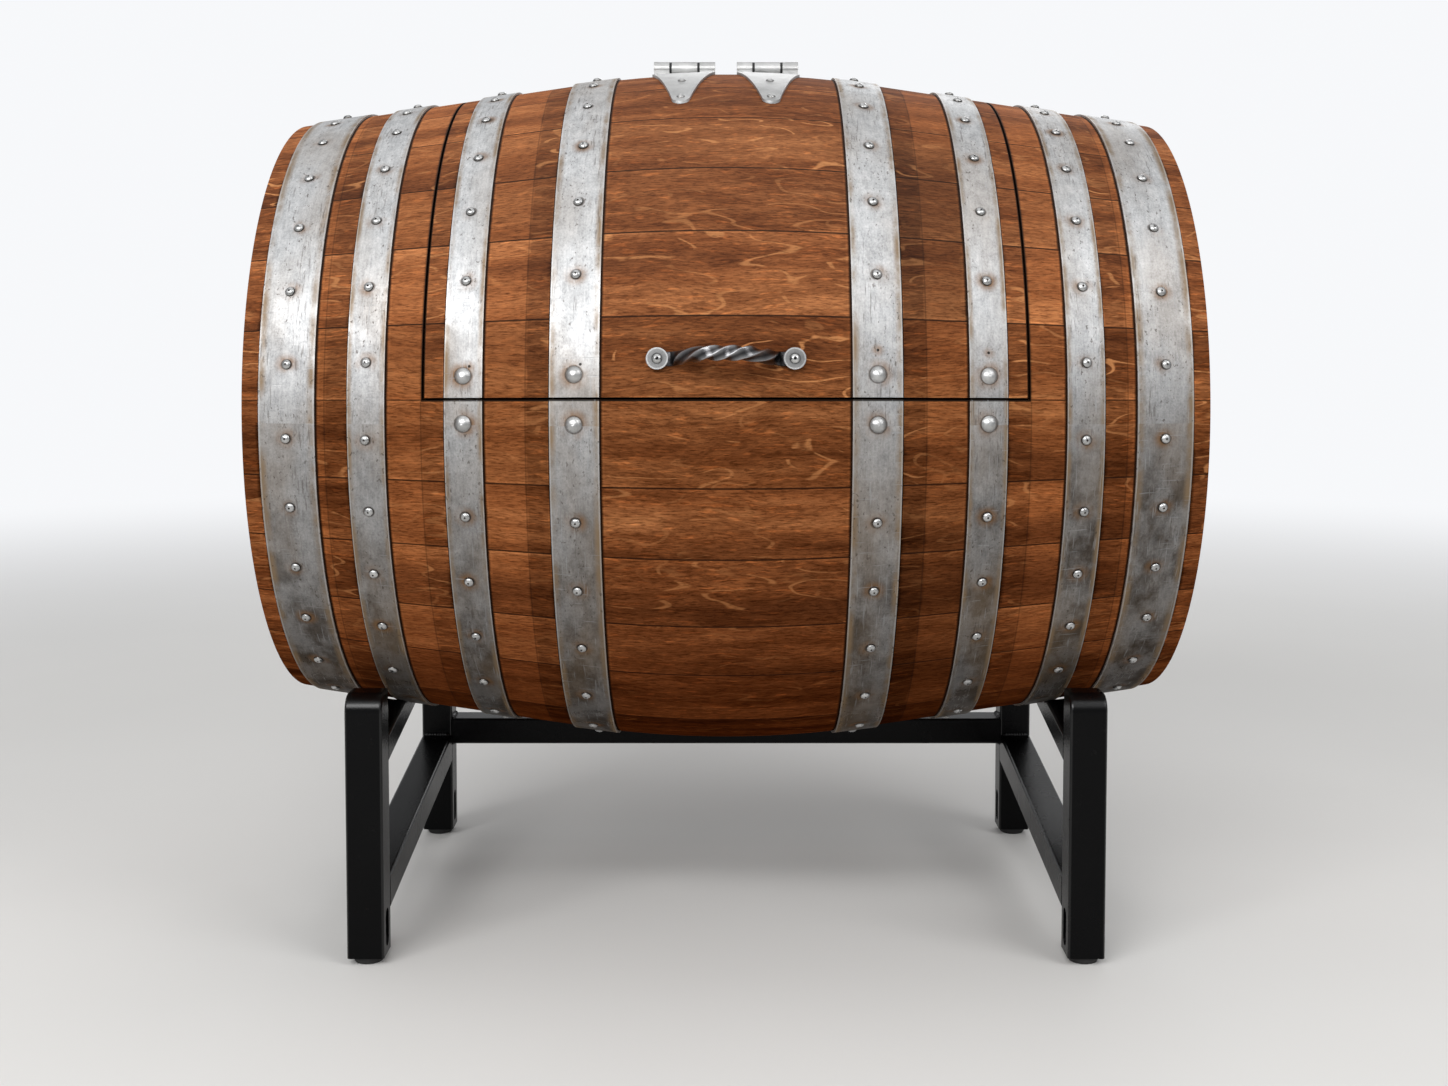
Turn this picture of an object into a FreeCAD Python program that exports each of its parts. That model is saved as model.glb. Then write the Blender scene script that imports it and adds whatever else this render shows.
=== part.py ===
import FreeCAD
import Part
import Sketcher
import math
import os
from FreeCAD import Placement, Rotation, Vector

# Barrel bar cabinet: an oak barrel lying on a black steel stand, with a hinged lid cut in its upper
# front quarter. X runs along the barrel, -Y is the front, +Z is up and the floor is z = 0.
# Angles around the barrel are in degrees: 0 at the front, 90 at the top, 180 at the rear.

doc = FreeCAD.newDocument("barrel_bar_cabinet")
sheet = doc.addObject("Spreadsheet::Sheet", "sizes")

SIZES = {
    # barrel
    "barrel_length": 880.0,
    "bilge_radius": 352.0,
    "underside_height": 179.5,
    "belly_arc": 1036.0,
    "belly_half": 150.0,
    "stave_thick": 25.0,
    "seam_gap": 0.08,
    "end_thick": 14.0,
    "bevel_length": 28.0,
    "croze_from_end": 36.0,
    "croze_width": 6.0,
    "croze_depth": 5.0,
    "head_thick": 18.0,
    "fit_gap": 0.3,
    # lid
    "lid_from_end": 170.0,
    "lid_low": 3.9,
    "lid_high": 88.0,
    "kerf": 2.0,
    "rest_width": 45.0,
    "rest_thick": 15.0,
    # hoops
    "hoop_thick": 2.0,
    "hoop_gap": 0.2,
    "bilge_share": 0.3684,
    "bilge_hoop_width": 45.0,
    "french_from_lid_side": 36.0,
    "french_hoop_width": 35.0,
    "quarter_from_end": 116.5,
    "quarter_hoop_width": 35.0,
    "chime_from_end": 42.5,
    "chime_hoop_width": 53.0,
    # hinges
    "hinge_at": 44.0,
    "hinge_width": 65.0,
    "hinge_tip_width": 17.0,
    "hinge_reach": 28.5,
    "leaf_thick": 2.5,
    "knuckle_radius": 7.4,
    "centre_knuckle": 27.0,
    "knuckle_gap": 2.6,
    "pin_radius": 3.0,
    "pin_gap": 0.05,
    "washer_gap": 0.1,
    "washer_inset": 0.4,
    # fasteners
    "bolt_head": 7.5,
    "bolt_dome": 4.2,
    "bolt_shank": 3.8,
    "bolt_length": 20.0,
    "bolt_offset": 3.7,
    "screw_head": 4.2,
    "screw_dome": 2.2,
    "screw_shank": 2.0,
    "screw_length": 16.0,
    "hole_gap": 0.15,
    # handle
    "handle_angle": 9.7,
    "handle_span": 121.0,
    "handle_standoff": 32.0,
    "handle_rise": 38.0,
    "bar_size": 10.5,
    "bar_twist": -540.0,
    "twist_share": 0.92,
    "pad_width": 13.0,
    "pad_thick": 3.0,
    "rosette_radius": 9.8,
    "rosette_thick": 2.0,
    # stand
    "tube": 36.0,
    "tube_wall": 2.5,
    "tube_corner": 3.0,
    "leg_from_end": 73.0,
    "leg_gap_half": 190.0,
    "leg_bottom": 7.0,
    "leg_clearance": 16.4,
    "leg_top_round": 17.0,
    "slot_width": 14.0,
    "slot_low": 14.0,
    "slot_high": 51.0,
    "rail_front": 45.0,
    "rail_rear": 90.0,
    "rail_depth": 33.0,
    "arm_below_top": 73.0,
    "arm_end": 48.0,
    "arm_depth": 27.0,
    "arm_rise": 0.16,
    "stretcher_low": 112.0,
    "stretcher_depth": 31.0,
    "glide_radius": 16.0,
    "glide_face": 13.5,
    "glide_plug": 14.0,
    # inside
    "deck_drop": 150.0,
    "deck_depth": 430.0,
    "deck_thick": 20.0,
    "bearer_from_lid_side": 40.0,
    "bearer_thick": 30.0,
}
for row, (alias, number) in enumerate(SIZES.items(), start=1):
    sheet.set(f"A{row}", alias)
    sheet.set(f"B{row}", str(number))
    sheet.setAlias(f"B{row}", alias)
doc.recompute()


class Dim:
    """A length or angle with its present value and the sheet expression it comes from."""

    def __init__(self, value, text):
        self.value = value
        self.text = text

    def __add__(self, other):
        other = dim(other)
        return Dim(self.value + other.value, f"({self.text} + {other.text})")

    def __sub__(self, other):
        other = dim(other)
        return Dim(self.value - other.value, f"({self.text} - {other.text})")

    def __mul__(self, other):
        other = dim(other)
        return Dim(self.value * other.value, f"({self.text} * {other.text})")

    def __truediv__(self, other):
        other = dim(other)
        return Dim(self.value / other.value, f"({self.text} / {other.text})")

    def __radd__(self, other):
        return dim(other) + self

    def __rsub__(self, other):
        return dim(other) - self

    def __rmul__(self, other):
        return dim(other) * self

    def __rtruediv__(self, other):
        return dim(other) / self


def dim(thing):
    """A sheet alias or a plain number as a Dim."""
    if isinstance(thing, Dim):
        return thing
    if isinstance(thing, str):
        return Dim(float(sheet.get(thing)), f"sizes.{thing}")
    if thing < 0:
        return Dim(float(thing), f"(0 - {-float(thing):.9g})")
    return Dim(float(thing), f"{float(thing):.9g}")


def root(length):
    return Dim(math.sqrt(length.value), f"sqrt({length.text})")


def cosine(angle):
    return Dim(math.cos(math.radians(angle.value)), f"cos({angle.text})")


def sine(angle):
    return Dim(math.sin(math.radians(angle.value)), f"sin({angle.text})")


def bind(item, **sizes):
    """Tie properties of an object to the sheet; a double underscore stands for a dot."""
    for key, size in sizes.items():
        item.setExpression(key.replace("__", "."), dim(size).text)
    return item


def make(kind, name, **sizes):
    return bind(doc.addObject(kind, name), **sizes)


def turned(item, angle):
    """Turn an object about the barrel axis, from its own drawing at the axis to its place."""
    item.Placement = Placement(Vector(0, 0, 0), Rotation(Vector(1, 0, 0), 30))
    return bind(item, Placement__Base__y=axis_y, Placement__Base__z=axis_z, Placement__Rotation__Angle=angle)


section_shift = {}


def outline(name, points, arcs=None):
    """Closed sketch through points; arcs maps an edge's number to its radius and a point on it."""
    arcs = arcs or {}
    sketch = doc.addObject("Sketcher::SketchObject", name)
    corners = [Vector(dim(px).value, dim(py).value, 0) for px, py in points]
    count = len(points)
    ends = []
    for index, corner in enumerate(corners):
        following = corners[(index + 1) % count]
        if index in arcs:
            sketch.addGeometry(Part.Arc(corner, arcs[index][1], following), False)
            begins = (sketch.getPoint(index, 1) - corner).Length < (sketch.getPoint(index, 2) - corner).Length
            ends.append((1, 2) if begins else (2, 1))
        else:
            sketch.addGeometry(Part.LineSegment(corner, following), False)
            ends.append((1, 2))
    for index in range(count):
        after = (index + 1) % count
        sketch.addConstraint(Sketcher.Constraint("Coincident", index, ends[index][1], after, ends[after][0]))
    driven = []
    for index, (px, py) in enumerate(points):
        for kind, size in (("DistanceX", dim(px)), ("DistanceY", dim(py))):
            rule = Sketcher.Constraint(kind, -1, 1, index, ends[index][0], size.value)
            driven.append((sketch.addConstraint(rule), size))
    for index, (radius, _) in arcs.items():
        driven.append((sketch.addConstraint(Sketcher.Constraint("Radius", index, radius.value)), radius))
    for number, size in driven:
        sketch.setExpression(f"Constraints[{number}]", size.text)
    return sketch


def revolved(name, sketch, low, high):
    """Sector of revolution about the barrel axis between two angles around the barrel."""
    item = make("Part::Revolution", name, Angle=high - low)
    item.Source = sketch
    item.Axis = Vector(1, 0, 0)
    item.Solid = True
    turned(item, 180 - high)
    if sketch.Name in section_shift:
        bind(item, Placement__Base__x=dim(0) - section_shift[sketch.Name])
    return item


def extruded(name, sketch, length):
    item = make("Part::Extrusion", name, LengthFwd=length)
    item.Base = sketch
    item.DirMode = "Custom"
    item.Dir = Vector(0, 0, 1)
    item.Solid = True
    return item


def crosswise(name, sketch, start, length, shift=0):
    """Extrude along x a side view drawn as distance forward of the axis, plus a shift, and height."""
    item = extruded(name, sketch, length)
    item.Placement = Placement(
        Vector(0, 0, 0), Rotation(Vector(0, -1, 0), Vector(0, 0, 1), Vector(-1, 0, 0), "ZXY")
    )
    ends = dim(start) + length
    bind(item, Placement__Base__x=ends, Placement__Base__y=axis_y + shift)
    return item


def cut(name, base, tool):
    item = doc.addObject("Part::Cut", name)
    item.Base = base
    item.Tool = tool
    return item


def common(name, base, tool):
    item = doc.addObject("Part::Common", name)
    item.Base = base
    item.Tool = tool
    return item


def fused(name, shapes):
    item = doc.addObject("Part::MultiFuse", name)
    item.Shapes = shapes
    return item


def group(name, links):
    item = doc.addObject("Part::Compound", name)
    item.Links = links
    return item


def mirrored(name, source, normal=Vector(1, 0, 0)):
    """Mirror image across the middle plane of the barrel, crosswise or front to rear."""
    item = doc.addObject("Part::Mirroring", name)
    item.Source = source
    item.Normal = normal
    bind(item, Base__y=axis_y)
    return item


def box(name, low, high):
    """Box between two corners given as x, y from the barrel axis, and z."""
    low = [dim(part) for part in low]
    high = [dim(part) for part in high]
    item = make(
        "Part::Box",
        name,
        Length=high[0] - low[0],
        Width=high[1] - low[1],
        Height=high[2] - low[2],
        Placement__Base__x=low[0],
        Placement__Base__y=low[1] + axis_y,
        Placement__Base__z=low[2],
    )
    return item


def along(kind, name, start, **sizes):
    """Cylinder or cone lying along the barrel axis, from x = start."""
    item = make(kind, name, **sizes)
    item.Placement = Placement(Vector(0, 0, 0), Rotation(Vector(0, 1, 0), 90))
    return bind(item, Placement__Base__x=start, Placement__Base__y=axis_y, Placement__Base__z=axis_z)


nodes = {}


def node(name, item):
    """Keep an object as a named piece of the cabinet."""
    item.Label = name
    nodes[name] = item
    return item


# The barrel's side view is an arc over the belly that runs straight out to both chimes.
half_length = dim("barrel_length") / 2
arc = dim("belly_arc")
belly = dim("belly_half")
bilge = dim("bilge_radius")
thick = dim("stave_thick")
arc_height = root(arc * arc - belly * belly)
slope = belly / arc_height
belly_edge = bilge - arc + arc_height
inner_belly = belly * (arc - thick) / arc
inner_edge = bilge - arc + arc_height * (arc - thick) / arc
fit_gap = dim("fit_gap")
seam = dim("seam_gap") / bilge * 57.29578
kerf_turn = dim("kerf") / bilge * 57.29578
lid_low = dim("lid_low")
lid_high = dim("lid_high")
lid_half = half_length - dim("lid_from_end")
french_at = lid_half - dim("french_from_lid_side")
hinge_side = dim("hinge_at") + dim("hinge_width") / 2
bilge_width = dim("bilge_hoop_width")
bilge_room = french_at - dim("french_hoop_width") / 2 - hinge_side - bilge_width
hoop_at = {
    "bilge": hinge_side + bilge_room * dim("bilge_share") + bilge_width / 2,
    "french": french_at,
    "quarter": half_length - dim("quarter_from_end"),
    "chime": half_length - dim("chime_from_end"),
}
axis_z = dim("underside_height") + bilge


def outer(at):
    """Radius of the straight outer part of a stave."""
    return belly_edge - slope * (dim(at) - belly)


def inner(at):
    """Radius of the straight inner part of a stave."""
    return inner_edge - slope * (dim(at) - inner_belly)


def skin(at):
    """Outer radius at x and how steeply it falls there."""
    at = dim(at)
    if at.value <= belly.value:
        height = root(arc * arc - at * at)
        return bilge - arc + height, at / height
    return outer(at), slope


handle_angle = dim("handle_angle")
pad_plane = bilge - 0.7
handle_reach = pad_plane + dim("handle_standoff") + dim("bar_size")
axis_y = (handle_reach * cosine(handle_angle) - bilge) / 2


def belly_profile(name, half, lower_right):
    """Stave section, symmetric about mid-length, with the corners after the outer end given."""
    right = [(belly, belly_edge), (half, outer(half))] + lower_right + [(inner_belly, inner_edge)]
    left = [(dim(0) - px, py) for px, py in reversed(right)]
    points = [(px + half, py) for px, py in right + left]
    inside = len(right) - 1
    middle = half.value
    arcs = {
        inside: (arc - thick, Vector(middle, bilge.value - thick.value, 0)),
        len(points) - 1: (arc, Vector(middle, bilge.value, 0)),
    }
    section_shift[name] = half
    return outline(name, points, arcs)


# Staves: a croze groove near each end takes the head, and the chime is bevelled inside.
groove_at = half_length - dim("croze_from_end")
groove_out = groove_at + dim("croze_width") / 2
groove_in = groove_at - dim("croze_width") / 2
groove_floor = inner(groove_at) + dim("croze_depth")
bevel_at = half_length - dim("bevel_length")
chime = [
    (half_length, outer(half_length) - dim("end_thick")),
    (bevel_at, inner(bevel_at)),
    (groove_out, inner(groove_out)),
    (groove_out, groove_floor),
    (groove_in, groove_floor),
    (groove_in, inner(groove_in)),
]
stub_at = lid_half + dim("kerf")
stave_section = belly_profile("stave_section", half_length, chime)
lid_section = belly_profile("lid_section", lid_half, [(lid_half, inner(lid_half))])
stub_section = outline(
    "stub_section",
    [(stub_at, outer(stub_at)), (half_length, outer(half_length))] + chime + [(stub_at, inner(stub_at))],
)

LID_SHARES = (12.2, 13.5, 12.0, 12.8, 12.2, 10.9, 10.5)
BODY_SHARES = (13.1, 11.2, 12.2, 11.2, 15.4, 14.6, 15.4)
BODY_RINGS = 3


def boundaries(start, span, shares):
    """Angles of the seams that divide a span in the given shares."""
    total = sum(shares)
    return [start + span * (sum(shares[:index]) / total) for index in range(len(shares) + 1)]


lid_seams = boundaries(lid_low, lid_high - lid_low, LID_SHARES)
body_span = 360 - lid_high + lid_low
body_seams = boundaries(lid_low, dim(0) - body_span, BODY_SHARES * BODY_RINGS)


# Fasteners stand on the barrel's skin, tipped to its slope, in rows at one angle around it.
def fastener_row(name, spots, angle, lift, kind, upright=False):
    """Row of domed fasteners and the row of holes their shanks need; upright ones aren't tipped."""
    head = dim(kind + "_head")
    dome = dim(kind + "_dome")
    shank = dim(kind + "_shank")
    length = dim(kind + "_length")
    ball = (head * head + dome * dome) / (dome * 2)
    pieces = []
    holes = []
    for number, spot in enumerate(spots):
        side = 1 if spot.value > 0 else -1
        reach = spot if side > 0 else dim(0) - spot
        radius, fall = skin(reach)
        fall = dim(0) if upright else fall
        tip = Dim(math.degrees(math.atan(fall.value)) * side, f"(atan({fall.text}) * {side})")
        steep = root(1 + fall * fall)
        seat_x = (reach + lift * fall / steep) * side
        seat_r = radius + lift / steep
        cap = make("Part::Sphere", f"{name}_cap_{number}", Radius=ball)
        cap.setExpression("Angle1", f"asin({((ball - dome) / ball).text})")
        bind(cap, Placement__Base__z=dome - ball)
        rod = make("Part::Cylinder", f"{name}_rod_{number}", Radius=shank, Height=length + 0.2)
        bind(rod, Placement__Base__z=dim(0) - length)
        piece = fused(f"{name}_{number}", [cap, rod])
        hole = make("Part::Cylinder", f"{name}_hole_{number}", Radius=shank + "hole_gap", Height=length + 6)
        drill = group(f"{name}_drill_{number}", [hole])
        bind(hole, Placement__Base__z=dim(0) - length - "hole_gap")
        for item in (piece, drill):
            item.Placement = Placement(Vector(0, 0, 0), Rotation(Vector(0, 1, 0), 30))
            bind(item, Placement__Base__x=seat_x, Placement__Base__z=seat_r, Placement__Rotation__Angle=tip)
        pieces.append(piece)
        holes.append(drill)
    return (
        turned(group(f"{name}_row", pieces), 90 - angle),
        turned(group(f"{name}_holes", holes), 90 - angle),
    )


hoop_lift = dim("hoop_gap") + "hoop_thick" + 0.05
cut_hoop_spots = []
for name in ("bilge", "french"):
    cut_hoop_spots += [hoop_at[name], dim(0) - hoop_at[name]]
bolt_offset = dim("bolt_offset")
lid_bolts, lid_bolt_holes = fastener_row(
    "lid_bolt", cut_hoop_spots, lid_low + bolt_offset, hoop_lift, "bolt"
)
body_bolts, body_bolt_holes = fastener_row(
    "body_bolt", cut_hoop_spots, lid_low - bolt_offset, hoop_lift, "bolt"
)
hinge_spots = [dim("hinge_at"), dim(0) - dim("hinge_at")]
leaf_lift = dim("leaf_thick") + "hoop_gap" + 0.05
hinge_reach = dim("hinge_reach")
hinge_rows = {}
for place, turn in (("lid", -1), ("body", 1)):
    for step, share in (("near", 0.63), ("far", 0.93)):
        angle = lid_high + hinge_reach * (turn * share)
        hinge_rows[place, step] = fastener_row(
            f"{place}_hinge_{step}", hinge_spots, angle, leaf_lift, "screw"
        )
handle_half = dim("handle_span") / 2
handle_spots = [handle_half, dim(0) - handle_half]
pad_lift = pad_plane - skin(handle_half)[0] + "pad_thick" + "rosette_thick" + 0.05
handle_screws, handle_holes = fastener_row(
    "handle_screw", handle_spots, handle_angle, pad_lift, "screw", upright=True
)

lid_holes = [lid_bolt_holes, handle_holes] + [hinge_rows["lid", step][1] for step in ("near", "far")]
lid_drills = group("lid_drills", lid_holes)
body_drills = group("body_drills", [body_bolt_holes] + [hinge_rows["body", step][1] for step in ("near", "far")])
leaf_drills = group("leaf_drills", [pair[1] for pair in hinge_rows.values()])

# Lid staves and the short stave ends left in the barrel on both sides of the lid.
stubs = []
for index in range(len(LID_SHARES)):
    low = lid_seams[index] + (kerf_turn if index == 0 else seam / 2)
    high = lid_seams[index + 1] - (kerf_turn if index == len(LID_SHARES) - 1 else seam / 2)
    blank = revolved(f"lid_blank_{index + 1}", lid_section, low, high)
    node(f"lid_stave_{index + 1}", cut(f"lid_stave_{index + 1}", blank, lid_drills))
    stub_low = lid_seams[index] + seam / 2
    stub_high = lid_seams[index + 1] - seam / 2
    stubs.append(revolved(f"stub_{index + 1}", stub_section, stub_low, stub_high))
right_stubs = node("right_stave_ends", group("right_stave_ends", stubs))
node("left_stave_ends", mirrored("left_stave_ends", right_stubs))

# Full staves, counted from the lid's lower edge down the front, under and up the rear.
STAVE_SETS = (
    "staves_front_upper",
    "staves_front_lower",
    "staves_bottom_front",
    "staves_bottom_rear",
    "staves_rear_lower",
    "staves_rear_middle",
    "staves_rear_upper",
)
staves = []
for index in range(len(BODY_SHARES) * BODY_RINGS):
    low = body_seams[index + 1] + seam / 2
    high = body_seams[index] - seam / 2
    blank = revolved(f"stave_blank_{index + 1}", stave_section, low, high)
    drilled = index == 0 or index >= len(BODY_SHARES) * BODY_RINGS - 3
    staves.append(cut(f"stave_{index + 1}", blank, body_drills) if drilled else blank)
for index, name in enumerate(STAVE_SETS):
    node(name, group(name, staves[index * 3 : index * 3 + 3]))


# Hoops: flat steel bands lying on the taper of the staves.
def hoop_section(name):
    """Side view of a flat band that touches the staves' slope at its middle."""
    at = hoop_at[name]
    width = dim(f"{name}_hoop_width")
    radius, fall = skin(at)
    steep = root(1 + fall * fall)
    base = radius + dim("hoop_gap") * steep
    band = dim("hoop_thick") * steep
    reach = width / 2 / steep
    points = []
    for side, lift in ((-1, 0), (1, 0), (1, 1), (-1, 1)):
        points.append((at + reach * side, base - fall * reach * side + band * lift))
    return outline(f"{name}_hoop_section", points)


for name in ("quarter", "chime"):
    section = hoop_section(name)
    ring = revolved(f"right_{name}_hoop", section, dim(0), dim(360))
    node(f"right_{name}_hoop", ring)
    node(f"left_{name}_hoop", mirrored(f"left_{name}_hoop", ring))
for name in ("bilge", "french"):
    section = hoop_section(name)
    blank = revolved(f"lid_{name}_blank", section, lid_low + kerf_turn, lid_high - kerf_turn)
    ring = cut(f"right_lid_{name}_hoop", blank, lid_bolt_holes)
    node(f"lid_right_{name}_hoop", ring)
    node(f"lid_left_{name}_hoop", mirrored(f"left_lid_{name}_hoop", ring))
    blank = revolved(f"body_{name}_blank", section, lid_high - 360 + seam / 2, lid_low - seam / 2)
    ring = cut(f"right_body_{name}_hoop", blank, body_bolt_holes)
    node(f"right_{name}_hoop", ring)
    node(f"left_{name}_hoop", mirrored(f"left_body_{name}_hoop", ring))

# Heads: upright boards whose thinned rim sits in the croze.
head_out = groove_out - fit_gap
head_in = head_out - dim("head_thick")
head_radius = inner(head_out) - fit_gap * 3
rim_radius = groove_floor - fit_gap * 2
rim_thick = dim("croze_width") - fit_gap * 2
rim = along("Part::Cylinder", "head_rim", groove_in + fit_gap, Radius=rim_radius, Height=rim_thick)
disc = along("Part::Cylinder", "head_disc", head_in, Radius=head_radius, Height=dim("head_thick"))
head_blank = fused("head_blank", [disc, rim])
HEAD_BOARDS = 6
board_width = groove_floor * 2 / HEAD_BOARDS
half_seam = dim("seam_gap") / 2
boards = []
for index in range(HEAD_BOARDS):
    edge = board_width * index - groove_floor
    slab = box(
        f"head_slab_{index}",
        (head_in - 1, edge + half_seam, axis_z - groove_floor),
        (head_out + 1, edge + board_width - half_seam, axis_z + groove_floor),
    )
    boards.append(common(f"head_board_{index}", head_blank, slab))
right_head = node("right_head", group("right_head", boards))
node("left_head", mirrored("left_head", right_head))

# Curved strips inside the lid's side edges: fixed under the stave ends, the lid closes onto them.
rest_in = lid_half + dim("kerf") / 2 - dim("rest_width") / 3
rest_out = rest_in + dim("rest_width")
rest_points = []
for at, depth in ((rest_in, 0), (rest_out, 0), (rest_out, 1), (rest_in, 1)):
    rest_points.append((at, inner(at) - fit_gap - dim("rest_thick") * depth))
rest_section = outline("rest_section", rest_points)
right_rest = revolved("right_lid_rest", rest_section, lid_low + 2, lid_high - 2)
node("right_lid_rest", right_rest)
node("left_lid_rest", mirrored("left_lid_rest", right_rest))

# Deck: four boards between the heads, on two bearers shaped to the staves under them.
DECK_BOARDS = 4
deck_top = axis_z - dim("deck_drop")
deck_under = deck_top - dim("deck_thick")
deck_half = head_in - 1
board_depth = dim("deck_depth") / DECK_BOARDS
right_room = along(
    "Part::Cone",
    "right_deck_room",
    dim(0),
    Radius1=inner(0) - fit_gap,
    Radius2=inner(deck_half) - fit_gap,
    Height=deck_half,
)
deck_room = fused("deck_room", [right_room, mirrored("left_deck_room", right_room)])
deck = []
for index in range(DECK_BOARDS):
    edge = board_depth * index - dim("deck_depth") / 2
    low = (dim(0) - deck_half, edge + half_seam * 2, deck_under)
    high = (deck_half, edge + board_depth - half_seam * 2, deck_top)
    board = box(f"deck_slab_{index}", low, high)
    deck.append(common(f"deck_board_{index}", board, deck_room))
node("deck_boards", group("deck_boards", deck))
bearer_in = lid_half - dim("bearer_from_lid_side") - dim("bearer_thick") / 2
bearer_out = bearer_in + dim("bearer_thick")
hollow = along(
    "Part::Cone",
    "bearer_hollow",
    bearer_in,
    Radius1=inner(bearer_in) - fit_gap,
    Radius2=inner(bearer_out) - fit_gap,
    Height=dim("bearer_thick"),
)
bearer_half = dim("deck_depth") / 2 - 10
slab = box(
    "bearer_slab",
    (bearer_in, dim(0) - bearer_half, axis_z - bilge),
    (bearer_out, bearer_half, deck_under),
)
right_bearer = common("right_bearer", hollow, slab)
left_bearer = mirrored("left_bearer", right_bearer)
node("deck_bearers", group("deck_bearers", [left_bearer, right_bearer]))

# Strap hinges: tapered leaves formed to the barrel, knuckles on a straight pin above its top.
hinge_at = dim("hinge_at")
hinge_half = dim("hinge_width") / 2
leaf_gap = dim("hoop_gap")
leaf_thick = dim("leaf_thick")
knuckle = dim("knuckle_radius")
pin_radius = dim("pin_radius")
pin_reach = bilge + leaf_gap + knuckle
leaf_points = []
for at, lift in ((-1, 0), (1, 0), (1, 1), (-1, 1)):
    at = hinge_at + hinge_half * at
    swing = arc + leaf_gap + leaf_thick * lift
    leaf_points.append((at, bilge - arc + root(swing * swing - at * at)))


def leaf_arc(lift):
    swing = arc + leaf_gap + leaf_thick * lift
    return swing, Vector(hinge_at.value, bilge.value - arc.value + math.sqrt(swing.value**2 - hinge_at.value**2), 0)


leaf_section = outline("leaf_section", leaf_points, {0: leaf_arc(0), 2: leaf_arc(1)})
hinge_reach_mm = bilge * sine(hinge_reach)
tip_half = dim("hinge_tip_width") / 2
shoulder_at = hinge_reach_mm * 0.27
tip_rise = tip_half * 0.6
tip_round = (tip_half * tip_half + tip_rise * tip_rise) / (tip_rise * 2)
tip_at = hinge_reach_mm - tip_rise
PLAN_SHIFT = 20
leaf_outline = outline(
    "leaf_outline",
    [
        (hinge_at - hinge_half, dim(PLAN_SHIFT)),
        (hinge_at - hinge_half, shoulder_at + PLAN_SHIFT),
        (hinge_at - tip_half, tip_at + PLAN_SHIFT),
        (hinge_at + tip_half, tip_at + PLAN_SHIFT),
        (hinge_at + hinge_half, shoulder_at + PLAN_SHIFT),
        (hinge_at + hinge_half, dim(PLAN_SHIFT)),
    ],
    {2: (tip_round, Vector(hinge_at.value, hinge_reach_mm.value + PLAN_SHIFT, 0))},
)


def knuckle_piece(name, start, length, radius):
    """Cylinder on the hinge line, drawn as if that line were straight above the barrel axis."""
    item = make("Part::Cylinder", name, Radius=radius, Height=length)
    item.Placement = Placement(Vector(0, 0, 0), Rotation(Vector(0, 1, 0), 90))
    bind(item, Placement__Base__x=start, Placement__Base__z=pin_reach)
    return turned(group(f"{name}_set", [item]), 90 - lid_high)


centre = dim("centre_knuckle")
knuckle_gap = dim("knuckle_gap")
hinge_start = hinge_at - hinge_half
centre_start = hinge_at - centre / 2
side_length = hinge_half - centre / 2 - knuckle_gap
side_start = hinge_at + centre / 2 + knuckle_gap
spans = {
    "lid": [(hinge_start, side_length), (side_start, side_length)],
    "body": [(centre_start, centre)],
}
clears = {
    "lid": [(centre_start - knuckle_gap, centre + knuckle_gap * 2)],
    "body": [
        (hinge_start - 1, side_length + 1 + knuckle_gap),
        (side_start - knuckle_gap, side_length + 1 + knuckle_gap),
    ],
}
bore = knuckle_piece("hinge_bore", hinge_start - 1, hinge_half * 2 + 2, pin_radius + dim("pin_gap"))


def knuckle_web(name, start, length, turn):
    """Root of a leaf where it curls up into a knuckle."""
    height, _ = skin(start)
    low = height + leaf_gap + 0.5
    item = make("Part::Box", name, Length=length, Width=knuckle - 0.6, Height=pin_reach - low)
    bind(item, Placement__Base__x=start, Placement__Base__z=low)
    bind(item, Placement__Base__y=dim(0.3) if turn > 0 else dim(0.3) - knuckle)
    return turned(group(f"{name}_set", [item]), 90 - lid_high)


for place, turn in (("lid", -1), ("body", 1)):
    root_turn = lid_high + 0.1 * turn
    tip_turn = lid_high + hinge_reach * (1.05 * turn)
    turns = (tip_turn, root_turn) if turn < 0 else (root_turn, tip_turn)
    band = revolved(f"{place}_leaf_band", leaf_section, *turns)
    prism = extruded(f"{place}_leaf_prism", leaf_outline, bilge + 40)
    if turn < 0:
        prism.Placement = Placement(Vector(0, 0, 0), Rotation(Vector(0, 0, 1), 180))
        bind(prism, Placement__Base__x=hinge_at * 2)
    bind(prism, Placement__Base__y=dim(-PLAN_SHIFT * turn))
    plan = turned(group(f"{place}_leaf_plan", [prism]), 90 - lid_high)
    leaf = common(f"{place}_leaf_blank", band, plan)
    sleeves = []
    for number, (start, length) in enumerate(spans[place]):
        sleeves.append(knuckle_piece(f"{place}_knuckle_{number}", start, length, knuckle))
        sleeves.append(knuckle_web(f"{place}_web_{number}", start, length, turn))
    gaps = [
        knuckle_piece(f"{place}_clear_{number}", start, length, knuckle + 0.5)
        for number, (start, length) in enumerate(clears[place])
    ]
    trimmed = cut(f"{place}_leaf_trim", leaf, group(f"{place}_leaf_clear", gaps))
    joined = fused(f"{place}_leaf_joined", [trimmed] + sleeves)
    drilled = cut(f"{place}_leaf_drilled", joined, leaf_drills)
    right = cut(f"right_{place}_leaf", drilled, bore)
    node(f"right_hinge_{place}_leaf", right)
    node(f"left_hinge_{place}_leaf", mirrored(f"left_{place}_leaf", right))
    screws = group(f"{place}_hinge_screws", [hinge_rows[place, step][0] for step in ("near", "far")])
    node(f"{place}_hinge_screws", screws)
right_pin = knuckle_piece("right_pin", hinge_start, hinge_half * 2, pin_radius)
node("right_hinge_pin", right_pin)
node("left_hinge_pin", mirrored("left_pin", right_pin))
washer_gap = dim("washer_gap")
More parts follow.
